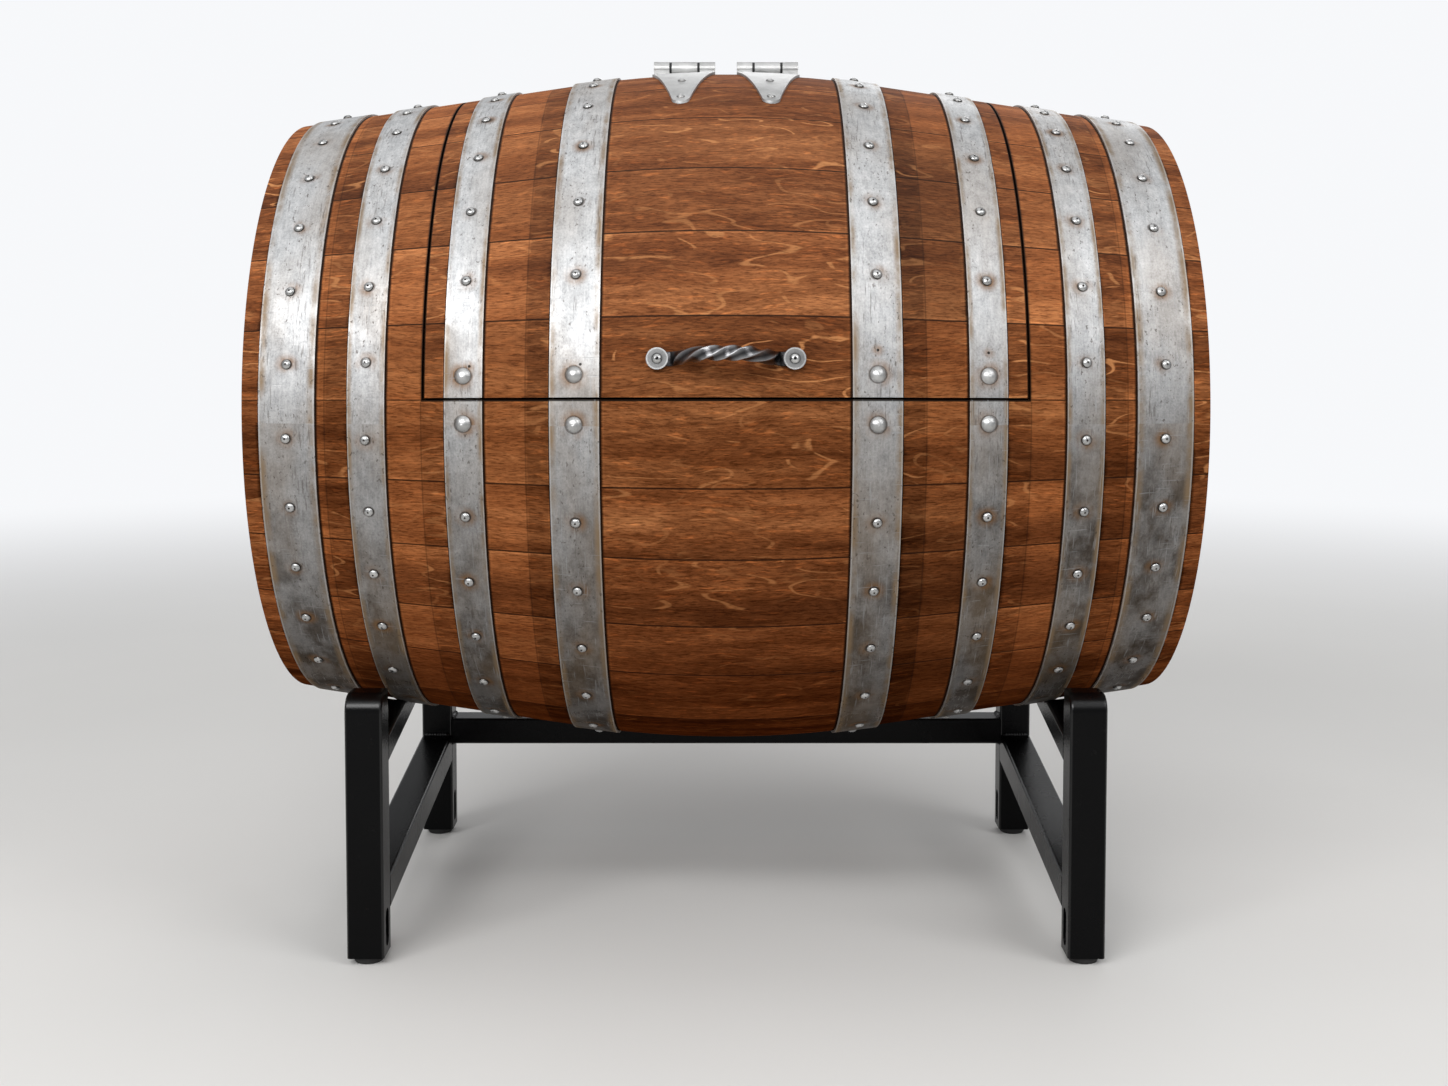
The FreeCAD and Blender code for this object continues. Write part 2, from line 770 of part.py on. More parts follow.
washer_rim = knuckle - dim("washer_inset")
washers = []
for number, start in enumerate((centre_start - knuckle_gap, centre_start + centre)):
    blank = knuckle_piece(f"washer_{number}", start + washer_gap, knuckle_gap - washer_gap * 2, washer_rim)
    washers.append(cut(f"right_washer_{number}", blank, bore))
right_washers = group("right_washers", washers)
node("hinge_washers", group("hinge_washers", [right_washers, mirrored("left_washers", right_washers)]))
node("lid_hoop_bolts", lid_bolts)
node("body_hoop_bolts", body_bolts)


# Handle: a square bar, flattened at both ends, bowed out from the lid and twisted about its length.
def bar_shape():
    """Loft of square sections along the bow; the twist is a whole number of half turns."""
    size = {key: float(sheet.get(key)) for key in SIZES}
    half = size["handle_span"] / 2
    end = half + size["pad_width"] / 2
    flat_until = half - size["rosette_radius"] - size["fit_gap"]
    twist_half = flat_until * size["twist_share"]
    steps = 34
    wires = []
    for step in range(-steps, steps + 1):
        at = end * step / steps
        rise = min(max((flat_until - abs(at)) / size["handle_rise"], 0.0), 1.0)
        lift = 0.5 - 0.5 * math.cos(math.pi * rise)
        fall = -math.copysign(1.0, at) * math.sin(math.pi * rise) * math.pi / 2 / size["handle_rise"]
        tilt = math.atan(fall * size["handle_standoff"])
        swell = min(1.0, rise * 2.4)
        swell = swell * swell * (3 - 2 * swell)
        wide = size["pad_width"] + (size["bar_size"] - size["pad_width"]) * swell
        deep = size["pad_thick"] + (size["bar_size"] - size["pad_thick"]) * swell
        turn = min(max((at + twist_half) / (2 * twist_half), 0.0), 1.0)
        twist = math.radians(size["bar_twist"] * turn)
        centre_z = pad_plane.value + deep / 2 + lift * size["handle_standoff"]
        across = Vector(0, 1, 0)
        upward = Vector(-math.sin(tilt), 0, math.cos(tilt))
        one = across * math.cos(twist) + upward * math.sin(twist)
        two = upward * math.cos(twist) - across * math.sin(twist)
        centre = Vector(at, 0, centre_z)
        corners = []
        for side_one, side_two in ((-1, -1), (1, -1), (1, 1), (-1, 1)):
            corners.append(centre + one * (side_one * wide / 2) + two * (side_two * deep / 2))
        wires.append(Part.makePolygon(corners + corners[:1]))
    bar = Part.makeLoft(wires, True, True)
    for side in (-1, 1):
        base = Vector(side * half, 0, pad_plane.value - 5)
        bar = bar.cut(Part.makeCylinder(size["screw_shank"] + size["hole_gap"] + 0.1, 12, base))
    return bar


handle_bar = doc.addObject("Part::Feature", "handle_bar")
handle_bar.Shape = bar_shape()
node("handle_bar", turned(handle_bar, 90 - handle_angle))
washers = []
for number, spot in enumerate(handle_spots):
    ring = make("Part::Cylinder", f"rosette_{number}", Radius="rosette_radius", Height="rosette_thick")
    eye = make("Part::Cylinder", f"rosette_eye_{number}", Radius=dim("screw_shank") + "hole_gap", Height=10)
    bind(ring, Placement__Base__x=spot, Placement__Base__z=pad_plane + "pad_thick")
    bind(eye, Placement__Base__x=spot, Placement__Base__z=pad_plane)
    washers.append(cut(f"rosette_cut_{number}", ring, eye))
node("handle_rosettes", turned(group("handle_rosettes", washers), 90 - handle_angle))
node("handle_screws", handle_screws)

# Stand: square steel tube. Side rails slope up to the rear, and saddle arms rise from the legs to the belly.
tube = dim("tube")
wall = dim("tube_wall")
gap_half = dim("leg_gap_half")
leg_inner = half_length - dim("leg_from_end") - tube
leg_low = dim("leg_bottom")
leg_span = outer(leg_inner) * outer(leg_inner) - gap_half * gap_half
leg_top = axis_z - root(leg_span) - dim("leg_clearance")
top_round = dim("leg_top_round")
front_face = gap_half + tube


def rounded(name, base, direction):
    """Round the long edges of a tube that run in one direction."""
    doc.recompute()
    radius = float(sheet.get("tube_corner"))
    picked = []
    for number, edge in enumerate(base.Shape.Edges, start=1):
        if not isinstance(edge.Curve, Part.Line) or edge.Length < 20:
            continue
        if edge.Curve.Direction.cross(direction).Length < 0.02:
            picked.append((number, radius, radius))
    item = doc.addObject("Part::Fillet", name)
    item.Base = base
    item.Edges = picked
    return item


corner_mid = math.sqrt(0.5) * top_round.value
leg_profile = outline(
    "leg_profile",
    [
        (gap_half, leg_low),
        (front_face, leg_low),
        (front_face, leg_top - top_round),
        (front_face - top_round, leg_top),
        (gap_half, leg_top),
    ],
    {
        2: (
            top_round,
            Vector(
                front_face.value - top_round.value + corner_mid,
                leg_top.value - top_round.value + corner_mid,
                0,
            ),
        )
    },
)
leg_outer = rounded("leg_rounded", crosswise("leg_outer", leg_profile, leg_inner, tube), Vector(0, 0, 1))
leg_bore = box(
    "leg_bore",
    (leg_inner + wall, wall - front_face, leg_low - 1),
    (leg_inner + tube - wall, dim(0) - gap_half - wall, leg_top - top_round - wall),
)
slot_half = dim("slot_width") / 2
slot_middle = gap_half + tube / 2
slot_box = box(
    "slot_box",
    (leg_inner - 1, dim(0) - slot_middle - slot_half, dim("slot_low") + slot_half),
    (leg_inner + wall + 1, slot_half - slot_middle, dim("slot_high") - slot_half),
)
slot_ends = []
for number, height in enumerate((dim("slot_low") + slot_half, dim("slot_high") - slot_half)):
    end = make("Part::Cylinder", f"slot_end_{number}", Radius=slot_half, Height=wall + 2)
    end.Placement = Placement(Vector(0, 0, 0), Rotation(Vector(0, 1, 0), 90))
    bind(end, Placement__Base__x=leg_inner - 1, Placement__Base__y=axis_y - slot_middle)
    slot_ends.append(bind(end, Placement__Base__z=height))
slot = fused("leg_slot", [slot_box] + slot_ends)
leg = cut("front_right_leg", cut("leg_hollow", leg_outer, leg_bore), slot)
across = Vector(0, 1, 0)
node("front_right_leg", leg)
node("front_left_leg", mirrored("front_left_leg", leg))
rear_leg = node("rear_right_leg", mirrored("rear_right_leg", leg, across))
node("rear_left_leg", mirrored("rear_left_leg", rear_leg))

RAIL_SHIFT = 10
rail_run = gap_half * 2
rail_front = dim("rail_front")
rail_rear = dim("rail_rear")
rail_depth = dim("rail_depth")


def rail_profile(name, trim):
    return outline(
        name,
        [
            (dim(RAIL_SHIFT), rail_rear + trim),
            (rail_run + RAIL_SHIFT, rail_front + trim),
            (rail_run + RAIL_SHIFT, rail_front + rail_depth - trim),
            (dim(RAIL_SHIFT), rail_rear + rail_depth - trim),
        ],
    )


rail_fall = Vector(0, -rail_run.value, rail_front.value - rail_rear.value).normalize()
rail_at = gap_half + RAIL_SHIFT
rail_outer = crosswise("rail_outer", rail_profile("rail_side", dim(0)), leg_inner, tube, rail_at)
rail_bore = crosswise("rail_bore", rail_profile("rail_hollow", wall), leg_inner + wall, tube - wall * 2, rail_at)
rail = cut("right_side_rail", rounded("rail_rounded", rail_outer, rail_fall), rail_bore)
node("right_side_rail", rail)
node("left_side_rail", mirrored("left_side_rail", rail))

arm_low = leg_top - dim("arm_below_top")
arm_depth = dim("arm_depth")
arm_rise = dim("arm_rise")
arm_end = dim("arm_end")


def arm_profile(name, trim):
    climb = arm_rise * (gap_half - arm_end)
    return outline(
        name,
        [
            (gap_half, arm_low + trim),
            (gap_half, arm_low + arm_depth - trim),
            (arm_end, arm_low + arm_depth - trim + climb),
            (arm_end, arm_low + trim + climb),
        ],
    )


arm_way = Vector(0, 1, arm_rise.value).normalize()
arm_outer = crosswise("arm_outer", arm_profile("arm_side", dim(0)), leg_inner, tube)
arm_bore = crosswise("arm_bore", arm_profile("arm_hollow", wall), leg_inner + wall, tube - wall * 2)
saddle_in = leg_inner - 10
saddle_out = leg_inner + tube + 10
saddle_lift = (dim("hoop_gap") * 2 + dim("hoop_thick")) * root(1 + slope * slope)
saddle = along(
    "Part::Cone",
    "saddle",
    saddle_in,
    Radius1=outer(saddle_in) + saddle_lift,
    Radius2=outer(saddle_out) + saddle_lift,
    Height=saddle_out - saddle_in,
)
arm_tube = cut("arm_tube", rounded("arm_rounded", arm_outer, arm_way), arm_bore)
arm = cut("front_right_saddle_arm", arm_tube, saddle)
node("front_right_saddle_arm", arm)
node("front_left_saddle_arm", mirrored("front_left_saddle_arm", arm))
rear_arm = node("rear_right_saddle_arm", mirrored("rear_right_saddle_arm", arm, across))
node("rear_left_saddle_arm", mirrored("rear_left_saddle_arm", rear_arm))

bar_low = dim("stretcher_low")
bar_high = bar_low + dim("stretcher_depth")
bar_outer = box("bar_outer", (dim(0) - leg_inner, gap_half, bar_low), (leg_inner, front_face, bar_high))
bar_bore = box(
    "bar_bore",
    (dim(0) - leg_inner - 1, gap_half + wall, bar_low + wall),
    (leg_inner + 1, front_face - wall, bar_high - wall),
)
node("rear_stretcher", cut("rear_stretcher", rounded("bar_rounded", bar_outer, Vector(1, 0, 0)), bar_bore))

# Glides: round pads under the legs, with a square plug up inside the tube.
foot_x = leg_inner + tube / 2
foot_y = gap_half + tube / 2
plug_half = tube / 2 - wall - fit_gap
cone = make(
    "Part::Cone",
    "glide_cone",
    Radius1="glide_face",
    Radius2="glide_radius",
    Height=leg_low * 0.6,
    Placement__Base__x=foot_x,
    Placement__Base__y=axis_y - foot_y,
)
rim = make(
    "Part::Cylinder",
    "glide_rim",
    Radius="glide_radius",
    Height=leg_low * 0.4,
    Placement__Base__x=foot_x,
    Placement__Base__y=axis_y - foot_y,
    Placement__Base__z=leg_low * 0.6,
)
plug = box(
    "glide_plug_block",
    (foot_x - plug_half, dim(0) - foot_y - plug_half, leg_low - 1),
    (foot_x + plug_half, plug_half - foot_y, leg_low + "glide_plug"),
)
plug_round = common(
    "glide_plug_round",
    plug,
    make(
        "Part::Cylinder",
        "glide_plug_limit",
        Radius=plug_half * 1.3,
        Height=leg_low + "glide_plug" + 1,
        Placement__Base__x=foot_x,
        Placement__Base__y=axis_y - foot_y,
    ),
)
glide = fused("glide_front_right", [cone, rim, plug_round])
glide_rear = mirrored("glide_rear_right", glide, across)
glides = [glide, glide_rear, mirrored("glide_front_left", glide), mirrored("glide_rear_left", glide_rear)]
node("foot_glides", group("foot_glides", glides))

doc.recompute()
for item in doc.Objects:
    if "Invalid" in item.State or "Error" in item.State:
        raise RuntimeError(f"{item.Name} failed: {item.State}")
for name, item in nodes.items():
    if item.Shape.isNull() or not item.Shape.isValid() or not item.Shape.Solids:
        raise RuntimeError(f"{name} has no sound solid")
os.makedirs("parts", exist_ok=True)
for name, item in nodes.items():
    item.Shape.exportStep(f"parts/{name}.step")
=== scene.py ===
"""Barrel bar cabinet: oak staves, worn hoops with their rivets, a twisted handle and a black tube stand.

A pair of sizes is a lower and an upper bound. A fade is a pair and the share below it, which falls to nothing
above it. A step is a pair and the results below and above it.
"""

import logging
import math
from dataclasses import dataclass, field, replace
from enum import Enum
from typing import Any, Sequence

import bpy
import numpy as np
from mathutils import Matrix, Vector


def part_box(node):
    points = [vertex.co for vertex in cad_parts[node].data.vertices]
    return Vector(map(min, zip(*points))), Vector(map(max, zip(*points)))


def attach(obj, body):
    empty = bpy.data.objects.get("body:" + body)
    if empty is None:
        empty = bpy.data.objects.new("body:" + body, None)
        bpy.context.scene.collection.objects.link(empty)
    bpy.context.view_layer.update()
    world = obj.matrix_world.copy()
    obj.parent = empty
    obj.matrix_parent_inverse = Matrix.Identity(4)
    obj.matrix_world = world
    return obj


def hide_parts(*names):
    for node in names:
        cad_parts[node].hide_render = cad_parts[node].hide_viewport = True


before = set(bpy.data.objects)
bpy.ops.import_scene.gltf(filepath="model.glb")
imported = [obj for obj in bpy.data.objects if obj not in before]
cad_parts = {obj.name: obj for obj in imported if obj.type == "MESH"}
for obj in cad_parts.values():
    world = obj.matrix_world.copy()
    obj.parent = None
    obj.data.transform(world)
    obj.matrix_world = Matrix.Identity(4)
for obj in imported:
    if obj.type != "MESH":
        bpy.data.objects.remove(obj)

log = logging.getLogger("barrel_cabinet")
Array = np.ndarray
Colour = tuple[float, float, float]
Place = tuple[float, float, float]
Fade = tuple[float, float, float]
Pair = tuple[float, float]
Row = tuple[float, float, float, float]
Step = Row
Material = bpy.types.Material
Node = bpy.types.Node
Tree = bpy.types.NodeTree
MM = 0.001
FAR = 9.0
WHITE = (1.0, 1.0, 1.0)
PHOTO_WIDTH = 1448
PHOTO_HEIGHT = 1086
SHARP_FROM = 40.0
ROUND_MOST = 2.2
BOARD_DRAWS = (0.37, 11.7, 23.9)
MIX_INPUTS = (0, 6, 7)
MIX_RESULT = 2


class Body(Enum):
    """The two rigid bodies that pieces ride on."""

    CABINET = "cabinet"
    LID = "lid"


class Grain(Enum):
    """Which way the boards of a wooden piece run."""

    STAVE = "stave"
    UPRIGHT = "upright"
    LENGTHWISE = "lengthwise"


@dataclass(frozen=True)
class Value:
    """An output in a shader tree. Each sign used on it adds a math node to that tree."""

    graph: "Graph"
    socket: bpy.types.NodeSocket

    def __add__(self, other: Any) -> "Value":
        """Sum."""
        return self.graph.math("ADD", self, other)

    def __sub__(self, other: Any) -> "Value":
        """Difference."""
        return self.graph.math("SUBTRACT", self, other)

    def __rsub__(self, other: Any) -> "Value":
        """Difference, taken from a number."""
        return self.graph.math("SUBTRACT", other, self)

    def __mul__(self, other: Any) -> "Value":
        """Product."""
        return self.graph.math("MULTIPLY", self, other)

    def __truediv__(self, other: Any) -> "Value":
        """Quotient."""
        return self.graph.math("DIVIDE", self, other)

    def __pow__(self, other: float) -> "Value":
        """Power."""
        return self.graph.math("POWER", self, other)

    def __abs__(self) -> "Value":
        """Size without its sign."""
        return self.graph.math("ABSOLUTE", self)

    def __gt__(self, other: float) -> "Value":
        """1 where it is more, otherwise 0."""
        return self.graph.math("GREATER_THAN", self, other)

    def __lt__(self, other: float) -> "Value":
        """1 where it is less, otherwise 0."""
        return self.graph.math("LESS_THAN", self, other)

    def least(self, other: Any) -> "Value":
        """The lower of two."""
        return self.graph.math("MINIMUM", self, other)

    def most(self, other: Any) -> "Value":
        """The higher of two."""
        return self.graph.math("MAXIMUM", self, other)

    def fract(self) -> "Value":
        """What lies over the whole number below."""
        return self.graph.math("FRACT", self)

    def beside(self, other: "Value") -> "Value":
        """Length over this distance and another at right angles to it."""
        return self.graph.math("SQRT", self * self + other * other)


class Graph:
    """Adds and links the nodes of one shader tree."""

    def __init__(self, tree: Tree) -> None:
        """Keep the tree that is worked on."""
        self.tree = tree

    def add(self, kind: str, **settings: Any) -> Node:
        """Add a node and set its attributes.

        Args:
            kind: Node type.
            settings: Attributes to set on it.

        Returns:
            The new node.
        """
        node = self.tree.nodes.new(kind)
        for name, value in settings.items():
            setattr(node, name, value)
        return node

    def feed(self, socket: bpy.types.NodeSocket, value: Any) -> None:
        """Link a value to a socket, or set the socket's own number or colour.

        Args:
            socket: Input of a node.
            value: A value, a number or a colour.
        """
        if isinstance(value, Value):
            self.tree.links.new(value.socket, socket)
        elif isinstance(value, tuple) and len(value) == 3 and socket.type == "RGBA":
            socket.default_value = (*value, 1.0)
        else:
            socket.default_value = value

    def fill(self, node: Node, *values: Any) -> Value:
        """Feed a node's inputs in order and read its first output.

        Args:
            node: The node.
            values: What its inputs get.

        Returns:
            The output.
        """
        for socket, value in zip(node.inputs, values):
            self.feed(socket, value)
        return Value(self, node.outputs[0])

    def named(self, node: Node) -> dict[str, Value]:
        """A node's outputs by name."""
        return {socket.name: Value(self, socket) for socket in node.outputs}

    def fill_named(self, node: Node, **values: Any) -> dict[str, Value]:
        """Feed a node's inputs by name and read its outputs.

        Args:
            node: The node.
            values: What its inputs get.

        Returns:
            The outputs by name.
        """
        for name, value in values.items():
            self.feed(node.inputs[name], value)
        return self.named(node)

    def math(self, operation: str, *values: Any, clamp: bool = False) -> Value:
        """Arithmetic on numbers or values.

        Args:
            operation: Math node operation.
            values: Its inputs in order.
            clamp: Keep the result between 0 and 1.

        Returns:
            The result.
        """
        return self.fill(self.add("ShaderNodeMath", operation=operation, use_clamp=clamp), *values)

    def mix(self, share: Any, first: Any, second: Any, blend: str = "MIX") -> Value:
        """Blend two colours.

        Args:
            share: How much of the second.
            first: Colour under it.
            second: Colour over it.
            blend: Blend mode.

        Returns:
            The blended colour.
        """
        node = self.add("ShaderNodeMix", data_type="RGBA", blend_type=blend)
        for index, value in zip(MIX_INPUTS, (share, first, second)):
            self.feed(node.inputs[index], value)
        return Value(self, node.outputs[MIX_RESULT])

    def tint(self, colour: Any, by: Any, share: Any = 1.0) -> Value:
        """A colour times another, as far as a share says."""
        return self.mix(share, colour, by, "MULTIPLY")

    def remap(self, value: Any, low: float, high: float, start: float = 0.0, end: float = 1.0) -> Value:
        """Smooth step of a value.

        Args:
            value: What is stepped.
            low: Where the step starts.
            high: Where it ends.
            start: Result below the step.
            end: Result above it.

        Returns:
            The stepped value.
        """
        node = self.add("ShaderNodeMapRange", interpolation_type="SMOOTHSTEP")
        return self.fill(node, value, low, high, start, end)

    def fade(self, value: Any, low: float, high: float, start: float = 1.0) -> Value:
        """Smooth step down to nothing."""
        return self.remap(value, low, high, start, 0.0)

    def point(self, x: Any, y: Any, z: Any) -> Value:
        """A vector from three numbers or values."""
        return self.fill(self.add("ShaderNodeCombineXYZ"), x, y, z)

    def grey(self, value: Value) -> Value:
        """A colour with three equal parts."""
        return self.point(value, value, value)

    def noise(self, vector: Value, scale: float, detail: float = 2.0, roughness: float = 0.5) -> Value:
        """Cloudy value of about 0.5.

        Args:
            vector: Where it is read.
            scale: Cells per unit.
            detail: Octaves.
            roughness: Weight of the finer octaves.

        Returns:
            The value.
        """
        node = self.add("ShaderNodeTexNoise", noise_dimensions="3D")
        return self.fill_named(node, Vector=vector, Scale=scale, Detail=detail, Roughness=roughness)["Fac"]

    def draw(self, number: Value) -> Value:
        """A random value from 0 to 1 that belongs to a number."""
        node = self.add("ShaderNodeTexWhiteNoise", noise_dimensions="1D")
        return self.fill_named(node, W=number)["Value"]

    def ramp(self, value: Value, stops: Sequence[tuple[float, Sequence[float]]]) -> Value:
        """Colour looked up along a line of stops.

        Args:
            value: Place on the line, from 0 to 1.
            stops: Places and colours in rising order.

        Returns:
            The colour.
        """
        node = self.add("ShaderNodeValToRGB")
        line = node.color_ramp.elements
        for index, (place, colour) in enumerate(stops):
            stop = line[index] if index < 2 else line.new(place)
            stop.position = place
            stop.color = (*colour, 1.0)
        return self.fill(node, value)

    def grey_ramp(self, value: Value, stops: Sequence[Pair]) -> Value:
        """Grey looked up along a line of stops, each a place and a brightness."""
        return self.ramp(value, [(place, (tone, tone, tone)) for place, tone in stops])

    def between(self, value: Value, low: Colour, middle: Colour, high: Colour) -> Value:
        """Colour looked up between three at 0, at half way and at 1."""
        return self.ramp(value, ((0.0, low), (0.5, middle), (1.0, high)))

    def parts(self, vector: Value) -> list[Value]:
        """The three numbers of a vector or colour."""
        return list(self.fill_named(self.add("ShaderNodeSeparateXYZ"), Vector=vector).values())

    def read(self, kind: str, output: str, **settings: Any) -> Value:
        """One output of a node that has no inputs."""
        return self.named(self.add(kind, **settings))[output]

    def place(self) -> Value:
        """Object coordinates of the shaded point."""
        return self.read("ShaderNodeTexCoord", "Object")

    def use(self, group: Tree, **inputs: Any) -> dict[str, Value]:
        """Place a group and read its outputs by name."""
        return self.fill_named(self.add("ShaderNodeGroup", node_tree=group), **inputs)


@dataclass
class Group:
    """A shader node group being written: named inputs, named outputs and a graph between them."""

    name: str
    inputs: Sequence[str]
    outputs: Sequence[str]
    graph: Graph = field(init=False)
    given: dict[str, Value] = field(init=False)

    def __post_init__(self) -> None:
        """Make the tree and its sockets, all of them plain values."""
        tree = bpy.data.node_groups.new(self.name, "ShaderNodeTree")
        for way, names in (("INPUT", self.inputs), ("OUTPUT", self.outputs)):
            for name in names:
                tree.interface.new_socket(name, in_out=way, socket_type="NodeSocketFloat")
        self.graph = Graph(tree)
        self.given = self.graph.named(self.graph.add("NodeGroupInput"))

    def put(self, **values: Any) -> Tree:
        """Feed the outputs by name.

        Args:
            values: What the outputs get.

        Returns:
            The finished tree.
        """
        result = self.graph.add("NodeGroupOutput").inputs
        for name, value in values.items():
            self.graph.feed(result[name], value)
        return self.graph.tree


@dataclass
class BarrelForm:
    """The barrel's outline, and the angles of its seams, counted up from the front in degrees.

    Shadow widths are those of the painted shadow lines beside a hoop, towards the middle and away from it.
    Shaded turns give the angle where a shade starts, where it fades, where it is gone, and its share.
    """

    lid_low: float = 3.9
    lid_shares: tuple[float, ...] = (12.2, 13.5, 12.0, 12.8, 12.2, 10.9, 10.5)
    body_shares: tuple[float, ...] = (13.1, 11.2, 12.2, 11.2, 15.4, 14.6, 15.4) * 3
    lid_high: float = 88.0
    belly_arc: float = 1.036
    belly_half: float = 0.150
    draw_offsets: Pair = (47.9, 83.3)
    tone_seed: int = 14
    # staves by the lid's lower cut: partly their own tone, partly painted shade following light from above
    cut_tones_and_shade: tuple[float, ...] = (0.0, 0.02, 0.42, 0.10, 0.24, 0.46)
    front_tones_and_shade: tuple[float, ...] = (0.62, 0.52, 0.36)
    bolt_turn: float = 3.7
    kerf: float = 2.0 * MM
    stain_edges: tuple[float, ...] = (178.0 * MM, 273.0 * MM, 362.5 * MM)
    shadow_widths: Pair = (2.3 * MM, 1.2 * MM)
    shaded_span: Pair = (150.0 * MM, 220.0 * MM)
    shaded_turns: tuple[Row, ...] = ((16.1, 45.0, 55.0, 1.0), (270.0, 349.0, 351.0, 0.75))
    handle_turn: float = 9.7
    handle_half: float = 60.5 * MM
    kinds: tuple[str, ...] = ("bilge", "french", "quarter", "chime")
    axis_y: float = field(init=False)
    axis_z: float = field(init=False)
    half_length: float = field(init=False)
    bilge_radius: float = field(init=False)
    lid_half: float = field(init=False)

    def __post_init__(self) -> None:
        """Read the axis, the length and the girth from the frame."""
        low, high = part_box("right_chime_hoop")
        self.axis_y = (low[1] + high[1]) / 2
        self.axis_z = (low[2] + high[2]) / 2
        self.half_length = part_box("staves_bottom_front")[1][0]
        self.bilge_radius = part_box("staves_rear_lower")[1][1] - self.axis_y
        self.lid_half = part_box("lid_stave_1")[1][0] + self.kerf / 2

    @property
    def girth(self) -> float:
        """Way round the barrel at the bilge."""
        return 2 * math.pi * self.bilge_radius

    @property
    def slope(self) -> float:
        """How steeply the straight ends fall: the arc's own slope where it stops."""
        return self.belly_half / math.sqrt(self.belly_arc**2 - self.belly_half**2)

    @staticmethod
    def spread(start: float, span: float, shares: Sequence[float]) -> Array:
        """Edges of pieces that divide a span by their shares."""
        parts = np.concatenate([[0.0], np.cumsum(shares)])
        return start + span * parts / parts[-1]

    @staticmethod
    def middles(seams: Array) -> Array:
        """Middle of each piece between two seams."""
        return (seams[:-1] + seams[1:]) / 2

    def lid_seams(self) -> Array:
        """Seam angles of the lid, rising."""
        return self.spread(self.lid_low, self.lid_high - self.lid_low, self.lid_shares)

    def hoop_edges(self) -> list[tuple[float, float]]:
        """Inner and outer edge of each kind of hoop, as distances from the middle of the barrel."""
        boxes = [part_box(f"right_{kind}_hoop") for kind in self.kinds]
        return [(low[0], high[0]) for low, high in boxes]

    def stave_tones(self, count: int) -> Array:
        """Tone of each stave from 0 to 1, counted up from the one under the lid's lower cut right round.
        Those by the cut carry painted shade as well as their own tone.

        Args:
            count: Number of staves.

        Returns:
            The tones.
        """
        tones = np.random.default_rng(self.tone_seed).random(count)
        tones[: len(self.cut_tones_and_shade)] = self.cut_tones_and_shade
        tones[-len(self.front_tones_and_shade) :] = self.front_tones_and_shade
        return tones

    def body_seams(self) -> Array:
        """Seam angles of the fixed staves, from the lid's lower edge down and round to its upper edge."""
        return self.spread(self.lid_low, self.lid_high - self.lid_low - 360.0, self.body_shares)

    def skin(self, x: Array) -> Array:
        """Outer radius: a circular arc over the belly, then straight lines that leave it at a tangent.

        Args:
            x: Places along the axis.

        Returns:
            The radii.
        """
        near = np.minimum(np.abs(x), self.belly_half)
        fall = self.belly_arc - np.sqrt(self.belly_arc**2 - near**2)
        return self.bilge_radius - fall - self.slope * (np.abs(x) - near)

    def frames(self, x: Array, turn: Array, lift: Array | float) -> tuple[Array, Array, Array, Array]:
        """Places on the skin with their own directions.

        Args:
            x: Places along the axis.
            turn: Angles up from the front, in degrees.
            lift: Height above the skin along its normal.

        Returns:
            The points, and the unit directions along the barrel, round it and out of it, each shaped (n, 3).
        """
        x, turn, lift = np.broadcast_arrays(np.asarray(x, float), np.radians(turn), np.asarray(lift, float))
        near = np.minimum(np.abs(x), self.belly_half)
        tilt = np.sign(x) * near / np.sqrt(self.belly_arc**2 - near**2)
        zero = np.zeros_like(x)
        radial = np.stack([zero, -np.cos(turn), np.sin(turn)], -1)
        around = np.stack([zero, np.sin(turn), np.cos(turn)], -1)
        axial = np.stack([zero + 1.0, zero, zero], -1)
        size = np.sqrt(1 + tilt**2)[..., None]
        out = (radial + axial * tilt[..., None]) / size
        along = (axial - radial * tilt[..., None]) / size
        axis = np.array([0.0, self.axis_y, self.axis_z])
        base = axis + axial * x[..., None] + radial * self.skin(x)[..., None]
        return base + out * lift[..., None], along, around, out


